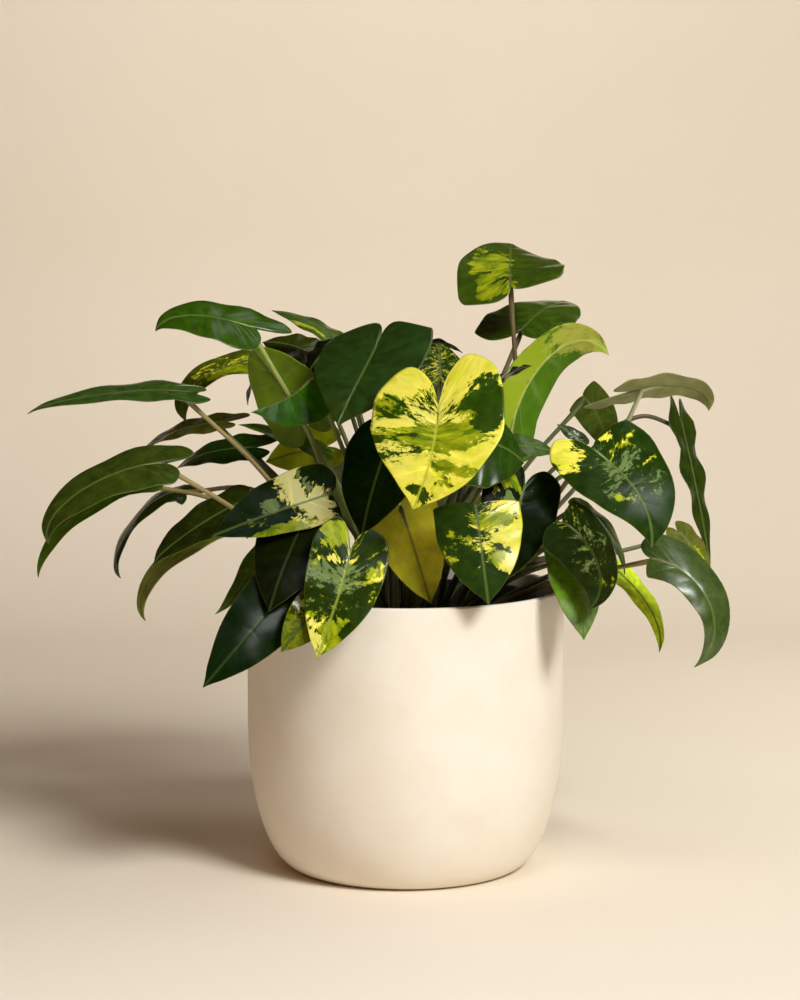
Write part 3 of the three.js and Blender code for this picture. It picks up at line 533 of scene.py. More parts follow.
def stalk_mesh(leaf, shape):
    """A stalk whose tip runs on under the midrib."""
    path = stalk_path(leaf, shape)
    along, deep, thick = RUN_ON.T
    rib = sheet_points(leaf, shape, along, along * 0) - shape["face"] * deep[:, None]
    share = np.linspace(0, 1, len(path))
    swelling = KNEE * np.exp(-(((share - KNEE_PLACE) / KNEE_REACH) ** 2))
    radii = STALK_BASE + (STALK_TIP - STALK_BASE) * share + swelling
    return tube(np.vstack([path, rib]), np.concatenate([radii, thick]), STALK_SIDES)


steps = np.diff(stalk_path(LEAVES[0], test), axis=0)
print("first stalk is", round(np.linalg.norm(steps, axis=1).sum()), "mm long")

# %% [markdown]
# ## What each leaf looks like
# This plant is variegated: most leaves are plain green, from black-green in the shade to a fresh
# green, and some are splashed with yellow, cream and paler greens, in patches that follow the side
# veins. A leaf needs a colour for each side, for its stalk and for its midrib. Beyond those it may
# have dim, which darkens the whole upper side, splashes too, as painted shade on a leaf that stands
# in the shade of others, wax, which names its finish, rough, which is added to its roughness, and
# puff, how much more than others it swells between its veins. A splashed leaf also has a list of
# patches, laid on in order: what kind it is, how far along the blade and how far across it lies, and
# its reach along and across. Lengths are shares of the blade and of its half width, and across is
# positive on the blade's left. The material then frays the edges with noise. A few leaves have
# colours made lighter as painted light or glow; their rows say so.

# %% Colours and patches of the leaves
PLAIN = dict(upper="#26401a", under="#55662c", stalk="#5d6238", rib="#5d7034")
# A dim below 1 darkens a leaf's whole upper side: painted shade for a leaf in the shade of others.
LOOKS = {
    "leaf_left_1": dict(puff=3, upper="#2f4e05", under="#6d8030", stalk="#98a452"),
    # Its own yellow-green made lighter on both sides: a painted glow of the light that shines through it from
    # behind.
    "leaf_left_2": dict(upper="#5c7c1c", under="#668204", stalk="#7c8c34"),
    "leaf_left_3": dict(wax="dull", upper="#264c04", under="#7a8444", stalk="#6a7430"),
    "leaf_left_4": dict(upper="#3f561a", under="#55662c", patches=[("lime", 0.5, 0.6, 0.4, 0.14)]),
    "leaf_left_5": dict(upper="#2b3505", under="#3c3f08"),
    "leaf_left_6": dict(upper="#0c1204", under="#0f1505"),
    # Its dim is painted shade.
    "leaf_left_7": dict(wax="dull", dim=0.8, upper="#4c5a10", under="#34501c", patches=[
        ("speckle", 0.3, 0.0, 0.5, 1.0), ("lime", 0.25, 0.6, 0.2, 0.3)]),
    "leaf_left_8": dict(puff=3, upper="#34501a", under="#38401c", stalk="#8a7c4a"),
    "leaf_left_9": dict(upper="#44480e", under="#30301a"),
    "leaf_left_10": dict(puff=3, upper="#34420f", under="#55662c", stalk="#8c7c4c"),
    "leaf_left_11": dict(upper="#54800e", under="#3a4a12", stalk="#7a6c3e"),
    "leaf_left_12": dict(upper="#1b2805", under="#2c3310", stalk="#5c5232"),
    "leaf_left_13": dict(upper="#1b3a07", under="#1f2a0a"),
    "leaf_left_14": dict(upper="#3c4a1a", under="#b0bc14", stalk="#6a6228"),
    "leaf_left_15": dict(upper="#4e7408", under="#4a5a10"),
    "leaf_left_16": dict(upper="#232c06", under="#59602a", stalk="#4c4424"),
    "leaf_left_17": dict(upper="#8c9a40", under="#c4c280"),
    "leaf_left_18": dict(upper="#1d2613", under="#3a3a20"),
    "leaf_front_1": dict(puff=3, wax="shiny", rough=0.1, upper="#203a0c", under="#3a4a24"),
    # Its dim is painted shade: this leaf hangs in the shade of the leaves above it, and its cream is darkened
    # with it.
    "leaf_front_2": dict(wax="dull", dim=0.6, upper="#122406", under="#55662c", patches=[
        ("cream", 0.2, 0.1, 0.2, 2.5), ("green", 0.0, -0.85, 0.12, 0.5), ("pale", 0.18, -0.45, 0.05, 0.3),
        ("pale", 0.47, -0.2, 0.07, 0.28), ("dapple", 0.62, 0.3, 0.2, 0.5), ("lime", 0.65, 0.95, 0.4, 0.35),
        ("fleck", 0.55, 0.4, 0.25, 0.2)]),
    "leaf_front_3": dict(wax="dull", upper="#101604", under="#2b3410", rib="#2c3c18"),
    # Lighter than its own green: painted light on a leaf that hangs in shade.
    "leaf_front_4": dict(wax="dull", upper="#4a6620", under="#6a6a20"),
    "leaf_front_5": dict(wax="dull", upper="#0d1d05", under="#3a4a24", rib="#2c4418"),
    # Its dim is painted shade.
    "leaf_front_6": dict(dim=0.44, upper="#4c5208", under="#5c5c10", patches=[
        ("marble", 0.3, 0.0, 0.6, 1.2), ("lime", 0.8, 0.0, 0.3, 1.0)]),
    "leaf_front_7": dict(upper="#223504", under="#55662c", rib="#8a9a3c", patches=[
        ("lime", 0.9, -0.3, 0.3, 1.2), ("butter", 0.88, -0.45, 0.22, 0.6), ("dapple", 0.35, 0.6, 0.45, 0.6),
        ("speckle", 0.2, 0.85, 0.2, 0.25), ("lime", 0.75, 0.3, 0.14, 0.3), ("green", 0.72, 0.85, 0.3, 0.4),
        ("mist", 0.28, -0.5, 0.36, 1.1), ("dapple", 0.45, -0.35, 0.06, 0.5), ("lime", -0.15, -0.3, 0.14, 0.5),
        ("butter", 0.1, -0.3, 0.05, 0.45)]),
    "leaf_front_8": dict(wax="dull", upper="#0a2806", under="#0e2c0c"),
    "leaf_front_9": dict(upper="#2b4708", under="#8c9a30", rib="#c0c03c", patches=[
        ("yellow", 0.3, 0.0, 3.0, 3.0), ("marble", 0.08, -0.5, 0.26, 0.7), ("dapple", -0.1, -0.8, 0.12, 0.25),
        ("marble", 0.3, -0.5, 0.16, 0.7), ("dapple", 0.33, -0.62, 0.09, 0.5),
        ("marble", 0.52, -0.65, 0.14, 0.45), ("yellow", 0.16, -0.65, 0.07, 0.25),
        ("speckle", -0.15, -0.25, 0.07, 0.3), ("green", 0.03, 0.75, 0.24, 0.36),
        ("speckle", -0.12, 0.85, 0.1, 0.2), ("lime", 0.32, 0.3, 0.15, 0.42), ("lime", 0.6, 0.4, 0.09, 0.3),
        ("yellow", 0.47, 0.75, 0.07, 0.4), ("green", 0.86, 0.06, 0.06, 0.14)]),
    # A yellow leaf, made brighter on both sides: a painted glow of the light through the blade, which hangs
    # in shade.
    "leaf_front_10": dict(upper="#8c8c18", under="#c4be28"),
    # Its dim is painted shade.
    "leaf_front_11": dict(dim=0.88, upper="#243a0a", under="#55662c", patches=[
        ("yellow", 0.34, 0.66, 0.42, 0.75), ("marble", 0.35, 0.12, 0.3, 0.3),
        ("dapple", 0.38, -0.6, 0.22, 0.4), ("lime", 0.14, 0.4, 0.07, 0.4),
        ("speckle", 0.44, 0.35, 0.04, 0.35), ("lime", 0.55, 0.35, 0.07, 0.22),
        ("butter", 0.68, 0.8, 0.16, 0.35), ("green", 0.8, 0.0, 0.2, 0.45)]),
    "leaf_front_12": dict(wax="dull", upper="#0c1704", under="#33401c", patches=[
        ("speckle", 0.05, -0.6, 0.25, 0.6), ("lime", 0.02, -0.5, 0.06, 0.3), ("pale", 0.22, -0.3, 0.1, 0.3)]),
    "leaf_front_13": dict(upper="#263f0a", under="#4a4e26"),
    "leaf_front_14": dict(upper="#385018", under="#4a5a2a"),
    "leaf_top_1": dict(puff=3, wax="shiny", upper="#3c520e", under="#4a5a2a", stalk="#6c6040", patches=[
        ("lime", 0.35, 0.4, 0.3, 0.35), ("dapple", 0.3, 0.45, 0.08, 0.25), ("marble", -0.1, 0.5, 0.16, 0.25),
        ("lime", -0.05, 0.25, 0.12, 0.3)]),
    "leaf_top_2": dict(puff=3, wax="shiny", upper="#3a5608", under="#4a5a2a", stalk="#6c6040"),
    "leaf_top_3": dict(upper="#55801c", under="#4c7408", stalk="#8c9a3c", rib="#b9c064", patches=[
        ("lime", 0.22, -0.5, 0.4, 0.55), ("yellow", 0.72, -0.2, 0.25, 0.8), ("lime", 0.98, 0.0, 0.1, 1.0)]),
    "leaf_top_4": dict(upper="#1f2d19", under="#3a4a24"),
    # Its dim is painted shade.
    "leaf_top_5": dict(dim=0.6, upper="#2a4a1c", under="#8a9a3c", patches=[
        ("speckle", 0.4, 0.0, 0.9, 1.5)]),
    "leaf_top_6": dict(wax="dull", rough=0.15, upper="#2a3018", under="#4c4424"),
    "leaf_right_1": dict(upper="#4a5a1c", under="#6a6c3a"),
    "leaf_right_2": dict(upper="#44542a", under="#8c9058", stalk="#a0a47c"),
    "leaf_right_3": dict(upper="#2a3a0c", under="#3d430f", stalk="#4c4424"),
    "leaf_right_4": dict(wax="dull", upper="#203608", under="#55662c", stalk="#7c9a4a", patches=[
        ("shade", 0.3, 0.1, 0.5, 1.2), ("yellow", -0.18, -0.7, 0.2, 0.45), ("yellow", -0.03, 0.4, 0.05, 0.16),
        ("speckle", 0.1, 0.5, 0.05, 0.5), ("speckle", 0.38, 0.6, 0.04, 0.3), ("speckle", 0.6, 1.0, 0.2, 0.16),
        ("lime", 0.5, -0.35, 0.06, 0.12)]),
    "leaf_right_5": dict(upper="#4c671c", under="#5a6c30"),
    # Its dim is painted shade.
    "leaf_right_6": dict(dim=0.85, upper="#1e2e0a", under="#33401c", stalk="#6a5c34", rib="#46541e",
                         patches=[("speckle", 0.0, 0.4, 0.22, 0.7), ("shade", 0.4, 0.2, 0.4, 0.9),
                                  ("dapple", 0.8, 0.4, 0.2, 0.4)]),
    "leaf_right_7": dict(wax="dull", upper="#587818", under="#33401c", patches=[
        ("pale", 0.5, 0.2, 0.25, 0.15)]),
    # Brighter than its own lime: painted light on a leaf that hangs in shade.
    "leaf_right_8": dict(upper="#cde633", under="#a8b030", stalk="#7c6c3c"),
    "leaf_right_9": dict(puff=3, wax="shiny", rough=0.03, upper="#3e5020", under="#55662c", stalk="#7c6c3c"),
    "leaf_right_10": dict(upper="#5c6020", under="#74702c", patches=[("lime", 0.5, 0.0, 0.2, 0.3)]),
    "leaf_right_11": dict(upper="#80963b", under="#66684a"),
    "leaf_right_12": dict(upper="#2c3f1f", under="#4a5230"),
    "leaf_back_2": dict(upper="#2c4a1f", under="#55662c", patches=[("yellow", 0.3, 0.6, 0.3, 0.4)]),
    "leaf_back_6": dict(upper="#30501f", under="#6a7a34", patches=[("marble", 0.4, 0.5, 0.5, 0.6)]),
}
print(sum("patches" in look for look in LOOKS.values()), "leaves have splashes")

# %% [markdown]
# The patches become four smooth fields over the blade: yellow, lime, cream and pale green. Where a
# field is above one half its colour shows, and near one half the noise of the material breaks it up.
# Cream only tints the yellow. Each point of the mesh carries the fields as an attribute, together
# with the leaf's own colours, so that all leaves share one set of materials. Vertex paint by hand
# could not be repeated so exactly.

# %% Fields of one leaf
# Yellow, lime, cream and pale green of each kind of patch: 1.7 is surely there, -1 surely not
KINDS = dict(
    green=(-1, -1, 0, -1),
    lime=(-1, 1.7, 0, -1),
    pale=(-1, -1, 0, 1.7),
    yellow=(1.7, 0.6, 0.1, -1),
    butter=(1.7, 0.5, 0.45, -1),
    cream=(1.7, 0, 1, -1),
    marble=(0.5, 0.6, 0.3, 0.3),
    speckle=(0.22, 0.5, 0, -1),
    fleck=(-0.35, 0.1, 0, -1),
    dapple=(-0.5, 0.37, 0, -0.3),
    mist=(-0.6, 0.1, 0, 0.75),
    shade=(-0.7, -0.1, 0, 0.42),
)
# A little more than a full turn, so that a random angle may be any
FULL_TURN = 6.3
# Two waves that push a patch's outline about: their size and their pace over the blade
OUTLINE_WAVES = ((0.035, 14), (0.02, 30))
PATCH_FADE = 0.7


def leaf_fields(look, along, across, seed):
    """The four fields at each point, from the patches laid on in order with wavy outlines."""
    dice = np.random.default_rng(seed + 100)
    shifts = []
    for size, pace in OUTLINE_WAVES:
        push = dice.normal(0, pace, (2, 2))
        wave = np.sin(along[:, None] * push[0] + across[:, None] * push[1] * 0.4
                      + dice.uniform(0, FULL_TURN, 2))
        shifts.append(size * wave)
    along = along + shifts[0][:, 0] + shifts[1][:, 0]
    across = across + 2.5 * (shifts[0][:, 1] + shifts[1][:, 1])
    fields = np.tile(np.array(KINDS["green"], float), (len(along), 1))
    for kind, at, off, long, wide in look.get("patches", ()):
        reach = ((along - at) / long) ** 2 + ((across - off) / wide) ** 2
        cover = np.exp(-(reach**1.5) * PATCH_FADE)[:, None]
        fields = fields * (1 - cover) + cover * np.array(KINDS[kind])
    return fields


fresh = leaf_fields(LOOKS["leaf_front_9"], np.array([0.03]), np.array([0.75]), 1)
print("dark patch of the large leaf:", fresh.round(2))

# %% [markdown]
# ## Leaf, upper side
# The upper side of a philodendron leaf is a smooth waxy skin over green tissue: dark and fairly
# glossy, with an index of refraction near 1.45. Leaves in their prime shine, and old or dusty ones
# hardly do, so there are three finishes, which differ in the strength of the reflection alone. The
# export keeps such a number only where it is typed on the shader itself, which is one more reason
# for three materials rather than one that reads it from the mesh. The side veins show paler. The
# splashes are patches of cells without green, so they have ragged edges drawn out along the veins.
# Painting an image would fix one leaf; nodes that read the vein directions do every leaf.

# %% Nodes that every leaf surface shares
YELLOW = "#f6eb56"
YELLOW_DEEP = "#d4d60e"
CREAM = "#dcd595"
LIME_DARK = "#56740c"
LIME_LIGHT = "#a3ac18"
PALE = "#6c8048"
EDGE_LINE = "#8c9440"
# Cells per blade length, per half width and from leaf to leaf: streaks about 5 mm wide and three or
# four times as long, drawn out along the side veins, and flecks a third of that
STREAKS = (20, 2.2, 3.7)
FLECKS = (60, 9, 9.1)
# Sizes in mm: soft blotches of the tissue, and the leathery grain of the upper side
BLOTCH = 9.1
GRAIN = 0.526
# Strength of the reflection, where 0.5 is that of a clean wax coat of the stated index
WAX_LEVELS = {"dull": 0.06, "plain": 0.3, "shiny": 0.6}


def split(tree, name):
    """A vector attribute of the mesh and its first two numbers."""
    source = add(tree, "Attribute", {"attribute_name": name})
    parts = add(tree, "SeparateXYZ", links={"Vector": source.outputs["Vector"]})
    return source.outputs["Vector"], parts.outputs["X"], parts.outputs["Y"]


def sum_of(tree, value, noise, amount):
    """A value plus a noise that swings about nought by the amount."""
    swing = add(tree, "Math", {"operation": "MULTIPLY_ADD", 1: amount, 2: -amount / 2}, {0: noise})
    return add(tree, "Math", {"operation": "ADD"}, {0: value, 1: swing.outputs[0]}).outputs[0]


def ragged(tree, field, noises, soft):
    """A mask with torn edges: a field plus noises, cut at one half."""
    for noise, amount in noises:
        field = sum_of(tree, field, noise, amount)
    cut = add(tree, "MapRange", {"interpolation_type": "SMOOTHSTEP", "From Min": 0.5 - soft,
                                 "From Max": 0.5 + soft}, {"Value": field})
    return cut.outputs["Result"]


def leaf_masks(tree):
    """Noises and masks in the leaf's own directions."""
    place, _, across_mm = split(tree, "place")
    vein, row, vein_share = split(tree, "vein")
    stretched = add(tree, "VectorMath", {"operation": "MULTIPLY", 1: STREAKS}, {0: vein})
    streak = add(tree, "TexNoise", {"Scale": 1.0, "Detail": 5, "Roughness": 0.65, "Distortion": 0.5},
                 {"Vector": stretched.outputs[0]})
    fine = add(tree, "VectorMath", {"operation": "MULTIPLY", 1: FLECKS}, {0: vein})
    fleck = add(tree, "TexNoise", {"Scale": 1.0, "Detail": 4, "Roughness": 0.7}, {"Vector": fine.outputs[0]})
    blotch = add(tree, "TexNoise", {"Scale": 1 / BLOTCH, "Detail": 3, "Roughness": 0.55}, {"Vector": place})
    # The midrib shows for 0.5 mm on each side and is gone at 1.5 mm
    distance = add(tree, "Math", {"operation": "ABSOLUTE"}, {0: across_mm})
    rib = add(tree, "MapRange", {"interpolation_type": "SMOOTHSTEP", "From Min": 1.5, "From Max": 0.5,
                                 "To Min": 0, "To Max": 1}, {"Value": distance.outputs[0]})
    # Side veins: soft lines up to 2 mm wide where the row crosses a vein, fainter near the edge
    wobble = add(tree, "Math", {"operation": "MULTIPLY_ADD", 1: 0.02}, {0: blotch.outputs["Fac"], 2: row})
    turn = add(tree, "Math", {"operation": "MULTIPLY", 1: math.pi * SIDE_VEINS}, {0: wobble.outputs[0]})
    crest = add(tree, "Math", {"operation": "COSINE"}, {0: turn.outputs[0]})
    height = add(tree, "Math", {"operation": "ABSOLUTE"}, {0: crest.outputs[0]})
    sharp = add(tree, "Math", {"operation": "POWER", 1: 26}, {0: height.outputs[0]})
    outward = add(tree, "Math", {"operation": "ABSOLUTE"}, {0: vein_share})
    inner = add(tree, "Math", {"operation": "SUBTRACT", 0: 1.1}, {1: outward.outputs[0]})
    veins = add(tree, "Math", {"operation": "MULTIPLY"}, {0: sharp.outputs[0], 1: inner.outputs[0]})
    marks = add(tree, "Attribute", {"attribute_name": "marks"})
    fields = add(tree, "SeparateColor", links={"Color": marks.outputs["Color"]})
    lime = ragged(tree, fields.outputs["Green"],
                  [(streak.outputs["Fac"], 3.2), (blotch.outputs["Fac"], 1.0),
                   (fleck.outputs["Fac"], 1.8)], 0.15)
    yellow = ragged(tree, fields.outputs["Red"],
                    [(streak.outputs["Fac"], 3.8), (fleck.outputs["Fac"], 3.2)], 0.16)
    pale = ragged(tree, marks.outputs["Alpha"],
                  [(streak.outputs["Fac"], 3.0), (fleck.outputs["Fac"], 1.8)], 0.15)
    half_blotch = add(tree, "Math", {"operation": "MULTIPLY", 1: 0.5}, {0: blotch.outputs["Fac"]})
    tint = add(tree, "MapRange", {"From Min": 0.38, "From Max": 0.6}, {"Value": streak.outputs["Fac"]})
    return dict(place=place, streak=streak.outputs["Fac"], tint=tint.outputs["Result"],
                blotch=blotch.outputs["Fac"], half_blotch=half_blotch.outputs[0],
                rib=rib.outputs["Result"], veins=veins.outputs[0], edge=outward.outputs[0],
                lime=lime, yellow=yellow, pale=pale, cream=fields.outputs["Blue"])


print("yellow", [round(c, 3) for c in linear(YELLOW)])

# %% [markdown]
# The colour is laid down in the order of nature: the green tissue with a soft change of tone, the
# pale green, lime and yellow patches, then the paler veins and the fine pale line of the edge. Last
# the leaf's dim darkens all of it as painted shade. The bump has the veins as shallow grooves and a
# leathery grain half a millimetre across. Two numbers ride in the alpha of a colour: how dim the
# leaf is, its painted shade, with its rib colour, and how much rougher than others with its upper
# colour.

# %% Philodendron leaf, upper side
def leaf_upper(finish):
    material, tree = new_material("philodendron leaf, waxy upper side, " + finish)
    mask = leaf_masks(tree)
    green = add(tree, "Attribute", {"attribute_name": "upper"})
    blend = add(tree, "Math", {"operation": "MULTIPLY_ADD", 1: 0.5},
                {0: mask["streak"], 2: mask["half_blotch"]})
    tone = add(tree, "MapRange", {"From Min": 0.35, "From Max": 0.65, "To Min": 0.62, "To Max": 1.4},
               {"Value": blend.outputs[0]})
    toned = add(tree, "HueSaturation", {},
                {"Color": green.outputs["Color"], "Value": tone.outputs["Result"]})
    pale = add(tree, "MixRGB", {"Color2": linear(PALE)},
               {"Fac": mask["pale"], "Color1": toned.outputs["Color"]})
    limes = add(tree, "MixRGB", {"Color1": linear(LIME_DARK), "Color2": linear(LIME_LIGHT)},
                {"Fac": mask["tint"]})
    lime = add(tree, "MixRGB", {}, {"Fac": mask["lime"], "Color1": pale.outputs["Color"],
                                    "Color2": limes.outputs["Color"]})
    yellows = add(tree, "MixRGB", {"Color1": linear(YELLOW_DEEP), "Color2": linear(YELLOW)},
                  {"Fac": mask["tint"]})
    cream = add(tree, "MixRGB", {"Color2": linear(CREAM)},
                {"Fac": mask["cream"], "Color1": yellows.outputs["Color"]})
    yellow = add(tree, "MixRGB", {}, {"Fac": mask["yellow"], "Color1": lime.outputs["Color"],
                                      "Color2": cream.outputs["Color"]})
    side = add(tree, "Math", {"operation": "MULTIPLY_ADD", 1: 0.3, 2: 1.0}, {0: mask["veins"]})
    veined = add(tree, "HueSaturation", {}, {"Color": yellow.outputs["Color"], "Value": side.outputs[0]})
    rib = add(tree, "Math", {"operation": "MULTIPLY", 1: 0.75}, {0: mask["rib"]})
    rib_tone = add(tree, "Attribute", {"attribute_name": "rib"})
    ribbed = add(tree, "MixRGB", {}, {"Fac": rib.outputs[0], "Color1": veined.outputs["Color"],
                                      "Color2": rib_tone.outputs["Color"]})
    rim = add(tree, "MapRange", {"From Min": 0.97, "From Max": 1.0, "To Max": 0.35}, {"Value": mask["edge"]})
    edged = add(tree, "MixRGB", {"Color2": linear(EDGE_LINE)},
                {"Fac": rim.outputs["Result"], "Color1": ribbed.outputs["Color"]})
    # Painted shade: the leaf's dim darkens the whole upper side, splashes and all.
    painted_shade = add(tree, "HueSaturation", {},
                 {"Color": edged.outputs["Color"], "Value": rib_tone.outputs["Alpha"]})
    grain = add(tree, "TexNoise", {"Scale": 1 / GRAIN, "Detail": 3, "Roughness": 0.6},
                {"Vector": mask["place"]})
    grain_part = add(tree, "Math", {"operation": "MULTIPLY", 1: 0.1}, {0: grain.outputs["Fac"]})
    swell = add(tree, "Math", {"operation": "MULTIPLY_ADD", 1: 0.35},
                {0: mask["blotch"], 2: grain_part.outputs[0]})
    relief = add(tree, "Math", {"operation": "MULTIPLY_ADD", 1: -0.14},
                 {0: mask["veins"], 2: swell.outputs[0]})
    bump = add(tree, "Bump", {"Strength": 0.5, "Distance": 0.0008}, {"Height": relief.outputs[0]})
    rough = add(tree, "MapRange", {"From Min": 0.3, "From Max": 0.7, "To Min": 0.17, "To Max": 0.29},
                {"Value": grain.outputs["Fac"]})
    shine = add(tree, "Math", {"operation": "ADD"}, {0: rough.outputs["Result"], 1: green.outputs["Alpha"]})
    surface = add(tree, "BsdfPrincipled", {"IOR": 1.45, "Specular IOR Level": WAX_LEVELS[finish]},
                  {"Base Color": painted_shade.outputs["Color"], "Roughness": shine.outputs[0],
                   "Normal": bump.outputs["Normal"]})
    add(tree, "OutputMaterial", links={"Surface": surface.outputs["BSDF"]})
    return material


upper_sides = {finish: leaf_upper(finish) for finish in WAX_LEVELS}
print("upper sides:", list(upper_sides))

# %% [markdown]
# ## Leaf, underside
# The underside is duller than the wax coat above: it is paler, more yellow or olive, and its veins
# stand out from it. Light that comes through the blade makes it glow a little, so a small share of
# subsurface scattering softens it. Living tissue has an index of refraction near 1.42.

# %% Philodendron leaf, underside
UNDER_LIME = "#93a81e"
UNDER_YELLOW = "#b9b650"
UNDER_VEIN = "#a9b070"
# The size of the underside's grain in mm
UNDER_GRAIN = 0.667


def leaf_under():
    material, tree = new_material("philodendron leaf, dull underside")
    mask = leaf_masks(tree)
    colour = add(tree, "Attribute", {"attribute_name": "under"})
    tone = add(tree, "MapRange", {"From Min": 0.3, "From Max": 0.7, "To Min": 0.82, "To Max": 1.18},
               {"Value": mask["blotch"]})
    toned = add(tree, "HueSaturation", {},
                {"Color": colour.outputs["Color"], "Value": tone.outputs["Result"]})
    limed = add(tree, "MixRGB", {"Color2": linear(UNDER_LIME)},
                {"Fac": mask["lime"], "Color1": toned.outputs["Color"]})
    faded = add(tree, "Math", {"operation": "MULTIPLY", 1: 0.6}, {0: mask["yellow"]})
    yellow = add(tree, "MixRGB", {"Color2": linear(UNDER_YELLOW)},
                 {"Fac": faded.outputs[0], "Color1": limed.outputs["Color"]})
    side = add(tree, "Math", {"operation": "MULTIPLY", 1: 0.2}, {0: mask["veins"]})
    veined = add(tree, "MixRGB", {"Color2": linear(UNDER_VEIN)},
                 {"Fac": side.outputs[0], "Color1": yellow.outputs["Color"]})
    rib = add(tree, "Math", {"operation": "MULTIPLY", 1: 0.7}, {0: mask["rib"]})
    rib_tone = add(tree, "Attribute", {"attribute_name": "rib"})
    ribbed = add(tree, "MixRGB", {}, {"Fac": rib.outputs[0], "Color1": veined.outputs["Color"],
                                      "Color2": rib_tone.outputs["Color"]})
    grain = add(tree, "TexNoise", {"Scale": 1 / UNDER_GRAIN, "Detail": 3, "Roughness": 0.6},
                {"Vector": mask["place"]})
    relief = add(tree, "Math", {"operation": "MULTIPLY_ADD", 1: 0.25},
                 {0: grain.outputs["Fac"], 2: mask["veins"]})
    bump = add(tree, "Bump", {"Strength": 0.35, "Distance": 0.0005}, {"Height": relief.outputs[0]})
    surface = add(tree, "BsdfPrincipled",
                  {"IOR": 1.42, "Roughness": 0.5, "Specular IOR Level": WAX_LEVELS["plain"],
                   "Subsurface Weight": 0.15, "Subsurface Scale": 0.001},
                  {"Base Color": ribbed.outputs["Color"], "Normal": bump.outputs["Normal"]})
    add(tree, "OutputMaterial", links={"Surface": surface.outputs["BSDF"]})
    return material


under_side = leaf_under()
print(under_side.name, len(under_side.node_tree.nodes), "nodes")

# %% [markdown]
# ## Stalk skin
# The stalks are smooth and firm, dull green to straw brown, with fine pale streaks along their
# length. The noise is therefore stretched along the stalk: 25 mm long and under 1 mm wide.

# %% Philodendron stalk
# Cells per mm along the stalk, per radian round it, and from leaf to leaf
STALK_STREAKS = (0.04, 2.6, 1.3)


def stalk_skin():
    material, tree = new_material("philodendron stalk, streaked skin")
    colour = add(tree, "Attribute", {"attribute_name": "upper"})
    place = add(tree, "Attribute", {"attribute_name": "place"})
    stretched = add(tree, "VectorMath", {"operation": "MULTIPLY", 1: STALK_STREAKS},
                    {0: place.outputs["Vector"]})
    streak = add(tree, "TexNoise", {"Scale": 1.0, "Detail": 4, "Roughness": 0.65},
                 {"Vector": stretched.outputs[0]})
    tone = add(tree, "MapRange", {"From Min": 0.3, "From Max": 0.7, "To Min": 0.6, "To Max": 1.45},
               {"Value": streak.outputs["Fac"]})
    toned = add(tree, "HueSaturation", {},
                {"Color": colour.outputs["Color"], "Value": tone.outputs["Result"]})
    bump = add(tree, "Bump", {"Strength": 0.3, "Distance": 0.0004}, {"Height": streak.outputs["Fac"]})
    surface = add(tree, "BsdfPrincipled", {"IOR": 1.45, "Roughness": 0.42},
                  {"Base Color": toned.outputs["Color"], "Normal": bump.outputs["Normal"]})
    add(tree, "OutputMaterial", links={"Surface": surface.outputs["BSDF"]})
    return material


stalk_material = stalk_skin()
print(stalk_material.name, len(stalk_material.node_tree.nodes), "nodes")

# %% [markdown]
# ## The leaves, one piece each
# Each leaf becomes one mesh of its blade and its stalk. The colours and fields are stored on the
# points of the mesh. The piece takes the place of the part's leaf and rides on the same body.

# %% Build every leaf
def colour_rows(code, count):
    """One colour for each of so many points."""
    return np.tile(np.array(linear(code)), (count, 1))


def join(pieces):
    """Several meshes as one: each a dict of arrays with its own face numbers."""
    verts, faces, slots, data, start = [], [], [], {}, 0
    for piece in pieces:
        verts.append(piece["verts"])
        faces += [[number + start for number in face] for face in piece["faces"]]
        slots += piece["slots"]
        for name, rows in piece["data"].items():
            data.setdefault(name, []).append(rows)
        start += len(piece["verts"])
    return np.vstack(verts), faces, slots, {name: np.vstack(rows) for name, rows in data.items()}


def leaf_pieces(leaf, seed):
    """The blade and the stalk of one leaf, with their attributes."""
    shape = leaf_frame(leaf)
    look = PLAIN | LOOKS.get(leaf["name"], {})
    verts, faces, slots, places, veins = blade_mesh(leaf, shape, seed, look.get("puff", 1))
    halves = leaf["half"] * (1 + np.sign(places[:, 1]) * leaf.get("skew", 0))
    marks = leaf_fields(look, places[:, 0] / shape["length"], places[:, 1] / halves, seed)
    # The alpha of rib carries the leaf's dim, a painted shade; the alpha of upper carries its added
    # roughness.
    blade = dict(verts=verts, faces=faces, slots=slots, data=dict(
        place=places, vein=veins, marks=marks,
        upper=colour_rows(look["upper"], len(verts)) * (1, 1, 1, look.get("rough", 0)),
        under=colour_rows(look["under"], len(verts)),
        rib=colour_rows(look["rib"], len(verts)) * (1, 1, 1, look.get("dim", 1))))
    verts, faces, places = stalk_mesh(leaf, shape)
    places[:, 2] = seed
    colour = colour_rows(look["stalk"], len(verts))
    stalk = dict(verts=verts, faces=faces, slots=[2] * len(faces), data=dict(
        place=places, vein=places * 0, marks=colour * 0, upper=colour, under=colour, rib=colour))
    return [blade, stalk]


def make_object(name, verts, faces, materials, slots=None, data=None):
    """A smooth-shaded object in metres from arrays in millimetres."""
    mesh = bpy.data.meshes.new(name)
    mesh.from_pydata((np.asarray(verts) * MM).tolist(), [], faces)
    for material in materials:
        mesh.materials.append(material)
    if slots is not None:
        mesh.polygons.foreach_set("material_index", slots)
    mesh.polygons.foreach_set("use_smooth", [True] * len(mesh.polygons))
    for key, rows in (data or {}).items():
        kind, field = ("FLOAT_COLOR", "color") if rows.shape[1] == 4 else ("FLOAT_VECTOR", "vector")
        attribute = mesh.attributes.new(key, kind, "POINT")
        attribute.data.foreach_set(field, rows.astype(np.float32).ravel())
    mesh.update()
    piece = bpy.data.objects.new(name, mesh)
    bpy.context.collection.objects.link(piece)
    return piece


